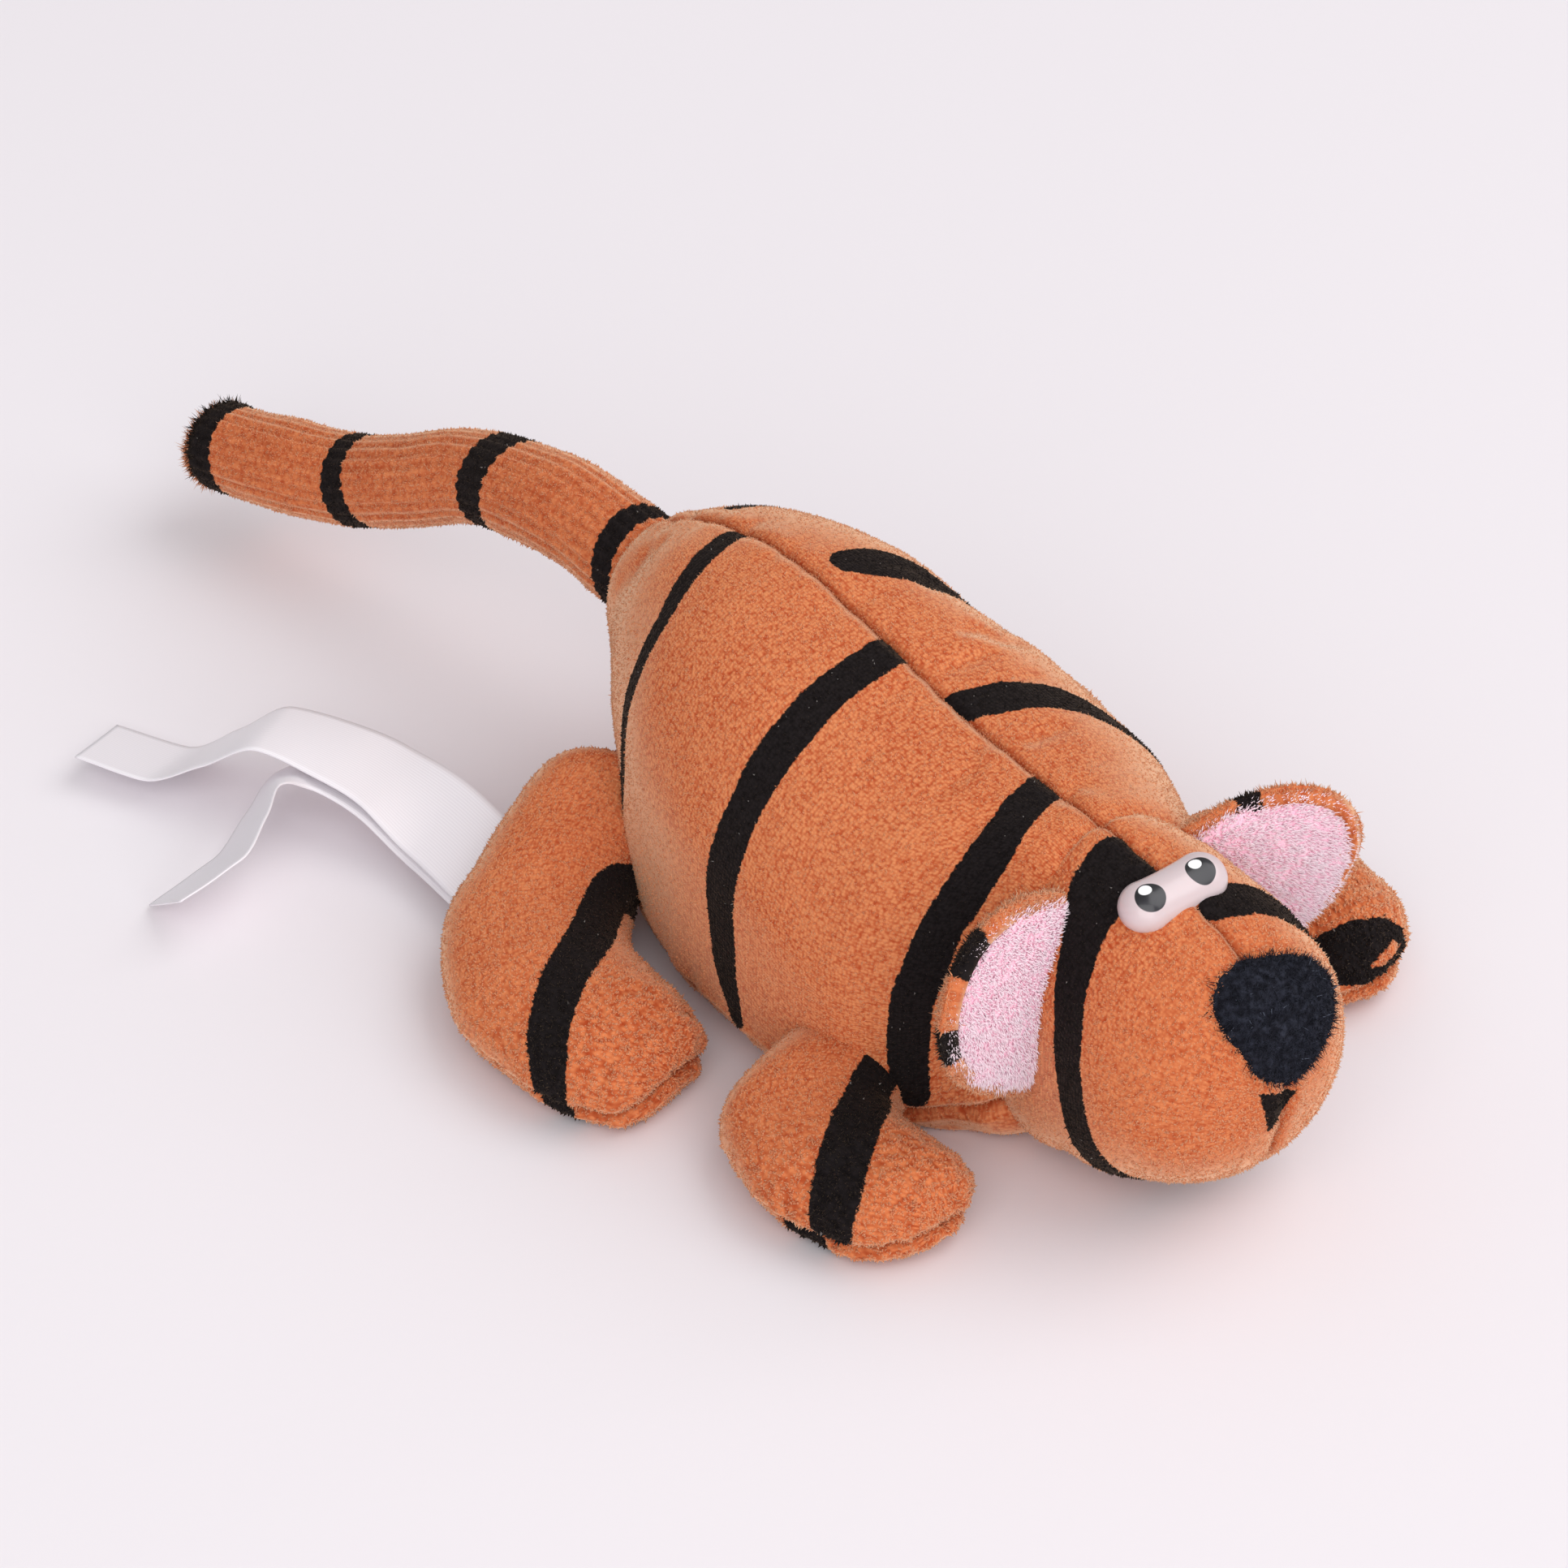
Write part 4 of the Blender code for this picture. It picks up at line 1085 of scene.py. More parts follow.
@dataclass(frozen=True)
class SatinRibbon(Finish):
    """Woven polyester satin: white, smooth, its fine warp giving a soft sheen."""

    name: str = "polyester satin, woven"
    white: str = "F3EFF3"
    shade: str = "EAE5EA"
    warp_mm: float = 0.35

    def shader(self, tree: NodeTree) -> NodeSocket:
        """Build the shader from warp lines, drawn 0.35 mm apart to show.
        A wave texture at scale 1 repeats each pi over 10.

        Args:
            tree: The material's nodes.

        Returns:
            The shader's output.
        """
        warp = add_node(tree, "TexWave", {
            "Vector": add_node(tree, "UVMap", uv_map=UV_NAME),
            "Scale": math.pi / 10 / (self.warp_mm * MM), "Distortion": 0.3,
        }, "Fac", bands_direction="Y")
        return add_node(tree, "BsdfPrincipled", {
            "Base Color": add_node(tree, "Mix", {
                0: warp, 6: linear(self.shade), 7: linear(self.white),
            }, **COLOURS),
            "Roughness": 0.5, "Anisotropic": 0.4,
            "Normal": add_node(tree, "Bump", {
                "Height": warp, "Strength": 0.1, "Distance": 0.03 * MM,
            }),
            "Sheen Weight": 0.1, "Sheen Roughness": 0.3,
        })


@dataclass(frozen=True)
class PlainFinish(Finish):
    """A plain material with a little grain: the paper, and what is inside."""

    code: str
    roughness: float
    grain_mm: float
    bump: float = 0.4
    bump_mm: float = 0.2
    specular: float = 0.5

    def shader(self, tree: NodeTree) -> NodeSocket:
        """Build the shader from noise of one grain size.

        Args:
            tree: The material's nodes.

        Returns:
            The shader's output.
        """
        grain = add_node(tree, "TexNoise", {
            "Vector": add_node(tree, "TexCoord", output="Object"),
            "Scale": 1 / (self.grain_mm * MM), "Detail": 3.0,
        })
        return add_node(tree, "BsdfPrincipled", {
            "Base Color": linear(self.code), "Roughness": self.roughness,
            "Specular IOR Level": self.specular,
            "Normal": add_node(tree, "Bump", {
                "Height": grain, "Strength": self.bump, "Distance": self.bump_mm * MM,
            }),
        })


@dataclass(frozen=True)
class Finishes:
    """All the toy's materials, each made once."""

    velour: Material
    pink: Material
    fuzz: Material
    milky: Material
    satin: Material
    fibre: Material
    washer: Material


def make_finishes() -> Finishes:
    """Make every material of the toy.

    Returns:
        All of them, by name.
    """
    return Finishes(
        VelourKnit().material(), PinkPlush().material(), NavyFuzz().material(),
        MilkyPlastic().material(), SatinRibbon().material(),
        PlainFinish("polyester fibrefill, carded", "EFEDE8", 1.0, 0.6).material(),
        PlainFinish("polypropylene, moulded", "DCDCD8", 0.4, 1.5).material(),
    )


# Placing


@dataclass(frozen=True)
class Joint:
    """Two bodies and the stretch over which cloth bends between them."""

    first: str
    second: str
    start: tuple[float, float, float]
    end: tuple[float, float, float]


def settle(
    piece: Object, slot: str, joint: Joint | str, *nodes: str, fill: float | None = None
) -> Object:
    """Hang a piece on its body, or bake its place into its mesh where it spans a
    joint, and hide the solids it stands for.

    Args:
        piece: The piece.
        slot: Material slot in the record; not used.
        joint: A body's name, or the joint it bends across.
        nodes: Solids that it stands for.
        fill: How full it is stuffed, if it is; not used.

    Returns:
        The piece.
    """
    if isinstance(joint, str):
        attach(piece, joint)
    else:
        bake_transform(piece)
    if nodes:
        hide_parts(*nodes)
    return piece


def dressed(
    name: str, node: str, cloth: Surface, finishes: Finishes, joint: Joint | str,
    fill: float, coat: Pile,
) -> list[Object]:
    """Make a velour cover and the pile that stands on it.

    Args:
        name: Start of both pieces' names.
        node: Solid that the cover stands for.
        cloth: The finished surface with its marks.
        finishes: The toy's materials.
        joint: What both ride on.
        fill: How full the cover is stuffed.
        coat: The pile.

    Returns:
        The cover and its pile.
    """
    cover = cloth.piece(f"{name}_velour", finishes.velour)
    thicken(cover, FABRIC)
    settle(cover, "velour", joint, node, fill=fill)
    nap = coat.piece(f"{name}_pile", cloth, finishes.velour)
    settle(nap, "velour", joint)
    return [cover, nap]


def stuffing(
    name: str, surface: Surface, finishes: Finishes, joint: Joint | str, fill: float
) -> Object:
    """Fill a cover with fibre, drawn in from its outside.

    Args:
        name: Solid that it stands for.
        surface: The cover's outside.
        finishes: The toy's materials.
        joint: What it rides on.
        fill: How full it is.

    Returns:
        The piece.
    """
    inner = surface.pushed(np.full(surface.points.shape[:2], -STUFFING_INSET))
    piece = inner.piece(name + "_fill", finishes.fibre)
    return settle(piece, "fibre", joint, name, fill=fill)


# Body


@dataclass(frozen=True)
class Body:
    """Two side panels sewn along the back, a belly panel and the stuffing."""

    length: float = 0.0740
    front: float = -0.0376
    half_width: float = 0.0265
    height: float = 0.0447
    seam_angle: float = -22.0
    rows: int = 140
    side_columns: int = 90
    belly_columns: int = 44
    stuffing_columns: int = 90
    fill: float = 0.85
    # Rings: how far back, left, right, top, bottom and widest height, and
    # squareness above and below it. Neck and tail rows are in mm.
    shares: tuple = (
        (0.000, 0.650, 0.670, 0.870, 0.002, 0.440, 2.1, 6.0),
        (0.062, 0.774, 0.811, 0.870, 0.000, 0.400, 2.2, 7.0),
        (0.170, 0.868, 0.962, 0.877, 0.000, 0.392, 2.4, 8.0),
        (0.332, 0.877, 1.000, 0.913, 0.000, 0.425, 2.5, 9.0),
        (0.508, 0.829, 0.962, 0.971, 0.000, 0.470, 2.4, 9.0),
        (0.670, 0.772, 0.862, 1.000, 0.004, 0.503, 2.3, 7.0),
        (0.832, 0.650, 0.610, 0.962, 0.080, 0.540, 2.2, 3.0),
        (0.941, 0.465, 0.400, 0.870, 0.270, 0.582, 2.1, 2.2),
    )
    neck_mm: tuple = (
        (-44.4, 4.0, 4.0, 26.0, 12.0, 19.0, 2.0, 2.0),
        (-44.0, 10.0, 10.4, 33.0, 4.6, 19.4, 2.0, 2.2),
        (-42.6, 12.6, 12.9, 36.4, 1.2, 19.8, 2.0, 3.6),
        (-40.4, 15.6, 16.4, 38.0, 0.2, 20.0, 2.1, 4.6),
    )
    tail_mm: tuple = (
        (36.4, 7.7, 7.7, 36.1, 20.7, 28.4, 2.0, 2.0),
        (37.1, 6.6, 6.6, 35.0, 21.8, 28.4, 2.0, 2.0),
        (36.9, 5.6, 5.6, 34.0, 22.8, 28.4, 2.0, 2.0),
        (35.9, 4.8, 4.8, 33.2, 23.6, 28.4, 2.0, 2.0),
    )
    right_stripes: tuple = (
        Stripe((
            (1.5, 20.8, 43.6, 2.5), (-4.0, 20.3, 43.0, 2.6), (-10.0, 18.9, 41.5, 2.4),
            (-15.0, 17.4, 39.0, 2.3), (-18.2, 17.2, 35.0, 2.3), (-20.2, 17.7, 29.6, 2.4),
            (-21.5, 18.3, 24.0, 2.6), (-21.9, 18.8, 18.0, 3.0), (-21.0, 19.0, 11.0, 3.2),
        )),
        Stripe((
            (1.0, -5.7, 42.2, 4.2), (-6.4, -6.4, 41.7, 4.2), (-11.3, -6.8, 40.8, 4.4),
            (-15.8, -7.5, 39.2, 4.5), (-19.7, -7.8, 36.4, 4.6), (-22.7, -8.1, 33.0, 4.4),
            (-25.0, -8.0, 28.5, 4.8), (-26.2, -7.6, 23.2, 5.0), (-26.4, -7.9, 17.6, 4.8),
            (-26.0, -8.8, 11.5, 3.8), (-25.4, -10.6, 6.0, 2.2),
        )),
        Stripe((
            (1.0, -31.2, 38.7, 4.0), (-2.0, -32.0, 38.7, 4.0), (-6.5, -33.2, 38.2, 4.2),
            (-11.5, -34.6, 35.9, 4.5), (-14.7, -34.9, 33.0, 4.5), (-17.3, -34.6, 29.9, 4.3),
            (-19.4, -34.4, 25.3, 4.6), (-20.8, -33.7, 20.0, 4.5), (-20.8, -33.3, 14.5, 4.6),
            (-19.5, -33.0, 8.0, 4.0),
        )),
    )
    left_stripes: tuple = (
        Stripe((
            (4.4, 27.4, 40.3, 2.8), (7.5, 27.2, 39.4, 3.8), (12.0, 27.0, 36.0, 3.4),
            (15.5, 26.4, 30.0, 2.6), (17.0, 26.0, 22.0, 2.0),
        )),
        Stripe((
            (4.4, 8.0, 43.7, 3.8), (8.0, 6.4, 43.2, 5.6), (11.5, 4.2, 41.5, 5.8),
            (15.5, 1.8, 38.0, 5.6), (19.5, -0.4, 32.0, 5.2), (21.8, -1.6, 25.0, 4.6),
            (22.3, -2.0, 17.0, 3.2), (20.5, -2.0, 10.0, 1.6),
        )),
        Stripe((
            (-1.0, -15.8, 40.2, 3.4), (3.3, -17.2, 39.9, 4.4), (6.8, -18.0, 39.5, 4.6),
            (10.4, -19.2, 38.5, 4.6), (13.6, -20.9, 37.1, 4.4), (17.0, -23.9, 34.0, 4.2),
            (19.5, -26.0, 29.0, 4.2), (21.0, -27.2, 22.0, 4.0), (21.0, -27.6, 14.0, 3.4),
            (19.0, -27.0, 8.0, 2.4),
        )),
    )
    back_seam: Seam = Seam(depth=0.7 * MM, width=0.8 * MM, lip=0.1 * MM, pucker=0.25 * MM, seed=3)
    flank_seam: Seam = Seam(depth=1.6 * MM, width=1.1 * MM, lip=0.3 * MM, pucker=0.3 * MM, seed=5)
    neck_y: float = -0.0422
    drape: Stuffed = Stuffed(cap=0.55 * MM, inset=0.45 * MM)
    lumps: Lumps = Lumps(0.25 * MM, 8 * MM, 11)
    coat: Pile = Pile(9.0, 0.19 * MM, 0.27 * MM, lean=0.7, curl=0.3, shag=0.5, seed=71)
    belly_coat: Pile = Pile(4.0, 0.19 * MM, 0.27 * MM, lean=0.7, curl=0.3, seed=72)

    def stations(self) -> np.ndarray:
        """Rings from inside the neck to inside the tail, read evenly along them.

        Returns:
            Rows as upright_rings takes them.
        """
        rows = np.array(self.shares) * [
            self.length, self.half_width, self.half_width,
            self.height, self.height, self.height, 1, 1,
        ]
        rows[:, 0] += self.front
        rows[np.array(self.shares)[:, 4] == 0, 4] = -FLOOR_CUT
        scale = np.array([MM] * 6 + [1, 1])
        rows = np.vstack([np.array(self.neck_mm) * scale, rows, np.array(self.tail_mm) * scale])
        steps = np.hypot(np.diff(rows[:, 0]), np.diff(rows[:, 3]))
        run = np.concatenate([[0], np.cumsum(steps)])
        return pchip(run, rows, np.linspace(0, run[-1], self.rows))

    def panel(self, start: float, end: float, columns: int) -> Surface:
        """One panel's plain surface between two angles, given in degrees."""
        angles = np.radians(np.linspace(start, end, columns))
        return Surface(upright_rings(self.stations(), angles))

    def build(self, finishes: Finishes) -> list[Object]:
        """Make the panels and the stuffing.

        Args:
            finishes: The toy's materials.

        Returns:
            The pieces made.
        """
        low = -180 - self.seam_angle
        back, flank = self.back_seam, self.flank_seam
        panels = (
            ("body_left", 90, self.seam_angle, self.side_columns, back, flank, self.left_stripes),
            ("body_right", -270, low, self.side_columns, back, flank, self.right_stripes),
            ("belly", self.seam_angle, low, self.belly_columns, flank, flank, ()),
        )
        made = []
        for name, start, end, columns, first, last, stripes in panels:
            cloth = self.lumps.swell(self.drape.settled(self.panel(start, end, columns)))
            cloth = printed(on_floor(sew_panel(cloth, first, last, self.neck_y)), stripes)
            coat = self.belly_coat if name == "belly" else self.coat
            made += dressed(name, f"{name}_panel", cloth, finishes, "torso", self.fill, coat)
        whole = self.panel(90, -268, self.stuffing_columns)
        whole.closed = True
        made.append(stuffing("body_stuffing", whole, finishes, "torso", self.fill))
        return made


# Head


@dataclass(frozen=True)
class Head:
    """Two side panels that meet along the face, and the stuffing."""

    back: float = -0.0410
    length: float = 0.0298
    half_width: float = 0.0155
    height: float = 0.0388
    rows: int = 84
    columns: int = 84
    stuffing_rows: int = 60
    stuffing_columns: int = 90
    fill: float = 0.9
    # Rings: how far ahead, half width, top, bottom and widest height, and
    # squareness above and below it
    shares: tuple = (
        (0.000, 0.900, 1.000, 0.066, 0.552, 2.0, 5.4),
        (0.100, 0.935, 0.995, 0.062, 0.545, 2.1, 5.4),
        (0.302, 0.965, 0.974, 0.074, 0.530, 2.1, 4.0),
        (0.503, 1.000, 0.943, 0.086, 0.518, 2.1, 2.9),
        (0.671, 0.960, 0.908, 0.122, 0.518, 2.0, 2.2),
        (0.822, 0.805, 0.845, 0.197, 0.520, 2.0, 2.1),
        (0.946, 0.490, 0.725, 0.327, 0.525, 2.0, 2.0),
        (1.000, 0.000, 0.530, 0.530, 0.530, 2.0, 2.0),
    )
    # Rows tucked into the neck, in mm
    tuck_mm: tuple = (
        (-37.4, 8.5, 31.0, 12.0, 21.4, 2.0, 2.2),
        (-38.4, 10.8, 34.6, 7.6, 21.4, 2.0, 2.8),
        (-39.6, 12.8, 37.6, 4.4, 21.4, 2.0, 4.0),
    )
    right_stripes: tuple = (
        Stripe((
            (0.2, -46.2, 38.6, 5.0), (-2.4, -46.2, 38.0, 7.6), (-5.0, -46.8, 37.0, 7.6),
            (-7.8, -47.6, 35.6, 6.0), (-10.9, -49.3, 32.5, 4.6), (-13.1, -50.6, 29.0, 4.4),
            (-14.6, -52.0, 25.4, 4.3), (-15.2, -52.9, 20.4, 4.3), (-14.7, -54.0, 15.6, 4.3),
            (-12.6, -55.4, 10.6, 4.2), (-8.6, -57.0, 6.2, 4.0), (-4.0, -57.6, 4.2, 3.4),
            (1.0, -57.8, 3.8, 3.0),
        )),
    )
    left_stripes: tuple = (
        Stripe((
            (0.9, -56.2, 36.4, 2.4), (2.4, -56.2, 36.1, 3.8), (5.3, -56.3, 35.5, 4.4),
            (7.8, -56.8, 34.1, 4.6), (10.2, -57.6, 32.2, 4.6), (12.4, -58.2, 28.6, 4.2),
            (13.6, -58.4, 23.6, 3.8), (13.2, -58.4, 17.6, 3.8), (10.6, -58.2, 11.0, 3.6),
            (6.0, -58.0, 6.4, 3.2), (1.0, -58.0, 4.0, 2.0),
        )),
    )
    # The small mouth below the nose, a triangle in x and z, in mm
    mouth_mm: tuple = ((-3.85, 22.6), (1.4, 20.7), (-2.14, 16.4))
    mouth_from: float = 0.75
    seam: Seam = Seam(
        depth=0.5 * MM, width=0.8 * MM, lip=0.08 * MM, pucker=0.2 * MM, reach=2.6 * MM, seed=9
    )
    neck_y: float = -0.0426
    # How far ahead the snout's longer pile starts and how soon it is full
    shag_start: float = 0.45
    shag_run: float = 0.3
    shag: float = 0.5
    joint: Joint = Joint("torso", "head", (0, -0.0395, 0.0214), (0, -0.0455, 0.0214))
    drape: Stuffed = Stuffed(rows=34, columns=34, cap=0.6 * MM, inset=0.6 * MM)
    lumps: Lumps = Lumps(0.2 * MM, 7 * MM, 21)
    coat: Pile = Pile(9.0, 0.2 * MM, 0.28 * MM, lean=0.7, curl=0.3, shag=0.5, seed=73)

    def stations(self, rows: int) -> np.ndarray:
        """Rings from inside the neck to the snout's tip, closer where it rounds.

        Args:
            rows: How many rings.

        Returns:
            Rows as upright_rings takes them.
        """
        shares = np.array(self.shares)
        table = shares * [
            -self.length, self.half_width, self.height, self.height, self.height, 1, 1,
        ]
        table[:, 0] += self.back
        turns = np.arcsin(shares[:, 0])
        tuck = np.array(self.tuck_mm) * ([MM] * 5 + [1, 1])
        places = np.concatenate([np.linspace(-0.24, -0.08, len(tuck)), turns])
        at = pchip(places, np.vstack([tuck, table]), np.linspace(places[0], math.pi / 2, rows))
        return at[:, [0, 1, 1, 2, 3, 4, 5, 6]]

    def panel(self, start: float, end: float, columns: int, rows: int) -> Surface:
        """One panel's plain surface between two angles, given in degrees."""
        angles = np.radians(np.linspace(start, end, columns))
        return Surface(upright_rings(self.stations(rows), angles))

    def mouth_distance(self, points: np.ndarray) -> np.ndarray:
        """Distance in mm from the mouth's edge on the snout's front.

        Args:
            points: Grid of points, in metres.

        Returns:
            The greatest of the distances from the triangle's three sides.
        """
        corners = np.array(self.mouth_mm)
        flat = points[..., [0, 2]] / MM
        far = np.full(flat.shape[:-1], -NO_PRINT_MM)
        for corner in range(3):
            start, end = corners[corner], corners[(corner + 1) % 3]
            way = unit(end - start)
            far = np.maximum(far, (flat - start) @ np.array([-way[1], way[0]]))
        front = points[..., 1] < self.back - self.mouth_from * self.length
        return np.where(front, far, NO_PRINT_MM)

    def surfaces(self) -> dict[Side, Surface]:
        """Both panels, sewn and printed.

        Returns:
            Panels by side.
        """
        made = {}
        for side, end, stripes in (
            (Side.LEFT, -90, self.left_stripes), (Side.RIGHT, 270, self.right_stripes),
        ):
            cloth = self.drape.settled(self.panel(90, end, self.columns, self.rows))
            cloth = sew_panel(self.lumps.swell(cloth), self.seam, self.seam, self.neck_y)
            ahead = self.back - self.shag_start * self.length - cloth.points[..., 1]
            ahead = ahead / (self.shag_run * self.length)
            cloth.marks[SHAG_MARK] = self.shag * np.clip(ahead, 0, 1)
            cloth = printed(cloth, stripes)
            mouth = self.mouth_distance(cloth.points)
            cloth.marks[PRINT_MARK] = np.minimum(cloth.marks[PRINT_MARK], mouth)
            made[side] = cloth
        return made

    def build(self, finishes: Finishes) -> list[Object]:
        """Make the panels and the stuffing.

        Args:
            finishes: The toy's materials.

        Returns:
            The pieces made.
        """
        made = []
        for side, cloth in self.surfaces().items():
            name = f"head_{side.word}"
            made += dressed(
                name, f"{name}_panel", cloth, finishes, self.joint, self.fill, self.coat
            )
        whole = self.panel(90, -268, self.stuffing_columns, self.stuffing_rows)
        whole.closed = True
        made.append(stuffing("head_stuffing", whole, finishes, self.joint, self.fill))
        return made

    def outside(self, points: np.ndarray) -> np.ndarray:
        """How far points are outside the head: above 0 outside, from its rings.

        Args:
            points: Points in any shape, in metres.

        Returns:
            The superellipse's sum less 1 at each point.
        """
        stations = self.stations(400)
        order = np.argsort(-stations[:, 0])
        depth = -points[..., 1]
        read = [np.interp(depth, -stations[order, 0], stations[order, k]) for k in range(1, 8)]
        half, _, top, bottom, widest, upper, lower = read
        half = np.maximum(half, 1e-6)
        above = points[..., 2] > widest
        tall = np.maximum(np.where(above, top - widest, widest - bottom), 1e-6)
        square = np.where(above, upper, lower)
        total = np.abs(points[..., 0] / half) ** square
        total = total + np.abs((points[..., 2] - widest) / tall) ** square - 1
        return np.where(depth > -stations[:, 0].min(), 1.0, total)

    def landing(self, points: np.ndarray, outward: np.ndarray) -> np.ndarray:
        """Where points land on the head when they are let in along a direction.

        Args:
            points: Points outside, in metres.
            outward: One direction away from the head.

        Returns:
            The landing points, by halving the way in again and again.
        """
        reach = np.linspace(0, self.length * 1.6, 160)
        tests = self.outside(points[None] - reach.reshape(-1, *(1,) * points.ndim) * outward)
        first = (tests <= 0).argmax(axis=0)
        high = reach[first]
        out = reach[np.maximum(first - 1, 0)]
        for _ in range(24):
            middle = (out + high) / 2
            inside = self.outside(points - middle[..., None] * outward) <= 0
            high, out = np.where(inside, middle, high), np.where(inside, out, middle)
        return points - high[..., None] * outward


# Nose


@dataclass(frozen=True)
class Nose:
    """Domed patch of navy fuzz in a rounded triangle, point down."""

    width: float = 0.0168
    height: float = 0.0142
    thickness: float = 0.0014
    centre: tuple = (0.0012, -0.0667, 0.0287)
    turn: float = 4.0
    tilt: float = 36.0
    roll: float = 18.0
    lobe_share: float = 0.085
    ragged_share: float = 0.02
    rim_depth: float = 0.5 * MM
    clumps: Lumps = Lumps(0.3 * MM, 1.6 * MM, 35)
    rings: int = 40
    spokes: int = 120
    pile: Pile = Pile(26.0, 0.42 * MM, 0.16 * MM, lean=1.3, curl=0.8, rings=3, seed=31)

    def axes(self) -> tuple[np.ndarray, np.ndarray, np.ndarray]:
        """Directions across, up and out of the patch.

        Returns:
            Three unit vectors.
        """
        turn, tilt, roll = np.radians([self.turn, self.tilt, self.roll])
        outward = np.array([
            math.sin(turn) * math.cos(tilt), -math.cos(turn) * math.cos(tilt), math.sin(tilt),
        ])
        level = np.array([math.cos(turn), math.sin(turn), 0])
        steep = np.cross(outward, level)
        across = level * math.cos(roll) - steep * math.sin(roll)
        return across, level * math.sin(roll) + steep * math.cos(roll), outward

    def surface(self, head: Head) -> Surface:
        """Rings of a lobed outline, 1 plus a share of sin 3t, laid on the head.

        Args:
            head: What the patch lies on.

        Returns:
            The patch's upper surface, its rim let into the head.
        """
        across, upward, outward = self.axes()
        turns = np.linspace(0, 2 * math.pi, self.spokes, endpoint=False)
        share = np.linspace(0, 1, self.rings)[:, None]
        circle = np.stack([np.cos(turns), np.sin(turns), 0 * turns], axis=-1)
        ragged = self.ragged_share * value_noise(circle, 0.16, 33)
        lobes = (1 + self.lobe_share * np.sin(3 * turns) + ragged) * share
        wide = self.width / 2 * np.cos(turns) * lobes
        high = self.height / 2 * np.sin(turns) * lobes
        start = np.array(self.centre) + wide[..., None] * across + high[..., None] * upward
        landed = head.landing(start + outward * head.length, outward)
        lift = self.thickness * (1 - share ** 4) - self.rim_depth * share ** 8
        centre = np.array([0, head.back - 0.5 * head.length, head.height * 0.52])
        away = unit(landed - centre)
        clumps = value_noise(landed, self.clumps.size, self.clumps.seed) * (1 - share ** 6)
        lift = lift + self.clumps.height * clumps
        return Surface(landed + away * lift[..., None], closed=True)

    def build(self, finishes: Finishes, head: Head) -> list[Object]:
        """Make the patch and its curls.

        Args:
            finishes: The toy's materials.
            head: What the patch lies on.

        Returns:
            The pieces made.
        """
        surface = self.surface(head)
        patch = surface.piece("nose_fuzz", finishes.fuzz)
        thicken(patch, self.thickness)
        settle(patch, "nose_fuzz", "head", "nose_patch", fill=0.5)
        curls = self.pile.piece("nose_curls", surface, finishes.fuzz)
        settle(curls, "nose_fuzz", "head")
        return [patch, curls]


# Eyes


@dataclass(frozen=True)
class Eyes:
    """One moulded piece of two domes with printed pupils."""

    spacing: float = 0.0076
    radius: float = 0.0030
    waist: float = 0.00285
    waist_power: float = 2.4
    height: float = 0.0027
    centre: tuple = (-0.0007, -0.0522, 0.0369)
    tilt: float = 12.0
    rings: int = 90
    spokes: int = 96
    # Marks, in mm across and forward: printed pupils from each dome's middle,
    # turned inward or outward by a little, and white glints from each pupil's middle
    pupil_mm: tuple = (3.4, 3.3)
    pupil_place_mm: tuple = (-0.62, -0.5)
    pupil_turn_mm: float = 0.3
    glint_mm: tuple = (1.5, 1.3)
    glint_place_mm: tuple = (-0.08, 0.86)

    def placement(self) -> np.ndarray:
        """Turn and place of the piece as a 4 by 4 matrix."""
        turn = Matrix.Rotation(math.radians(self.tilt), 4, "X")
        return np.array(Matrix.Translation(Vector(self.centre)) @ turn)

    def surface(self) -> Surface:
        """Rings along X, whose radius is the smooth union of two round domes
        and a waist between them.

        Returns:
            The piece's outside with its pupils and glints.
        """
        end = self.spacing / 2
        sweep = np.linspace(-1, 1, self.rings)
        x = (end + self.radius) * np.sin(sweep * math.pi / 2)
        domes = np.sqrt(np.maximum(self.radius ** 2 - (np.abs(x) - end) ** 2, 0))
        inside = np.abs(x) < end
        neck = self.waist + (self.radius - self.waist) * (np.abs(x) / end) ** self.waist_power
        radius = np.where(inside, neck, domes)
        turns = np.linspace(0, 2 * math.pi, self.spokes, endpoint=False)
        y = radius[:, None] * np.cos(turns)
        z = radius[:, None] * np.sin(turns) * self.height / self.radius
        local = np.stack([x[:, None] + 0 * y, y, z], axis=-1)
        matrix = self.placement()
        surface = Surface(local @ matrix[:3, :3].T + matrix[:3, 3], closed=True)
        side = np.sign(local[..., 0])
        place = self.pupil_place_mm[0] - self.pupil_turn_mm * side
        across = (local[..., 0] - end * side) / MM - place
        ahead = local[..., 1] / MM - self.pupil_place_mm[1]
        below = local[..., 2] < 0
        for mark, size, middle in (
            ("pupil_mm", self.pupil_mm, (0.0, 0.0)),
            ("glint_mm", self.glint_mm, self.glint_place_mm),
        ):
            oval = np.hypot(
                (across - middle[0]) / (size[0] / 2), (ahead - middle[1]) / (size[1] / 2)
            )
            surface.marks[mark] = np.where(below, NO_PRINT_MM, (oval - 1) * size[1] / 2)
        surface.marks["brow_mm"] = ahead
        return surface

    def build(self, finishes: Finishes) -> list[Object]:
        """Make the moulded piece, and dress its washers.

        Args:
            finishes: The toy's materials.

        Returns:
            The pieces made.
        """
        piece = self.surface().piece("eyes_moulded", finishes.milky)
        for side in Side:
            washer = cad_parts[f"eye_washer_{side.word}"]
            washer.data.materials.clear()
            washer.data.materials.append(finishes.washer)
        return [settle(piece, "eye_plastic", "head", "eye_piece")]


# Ears


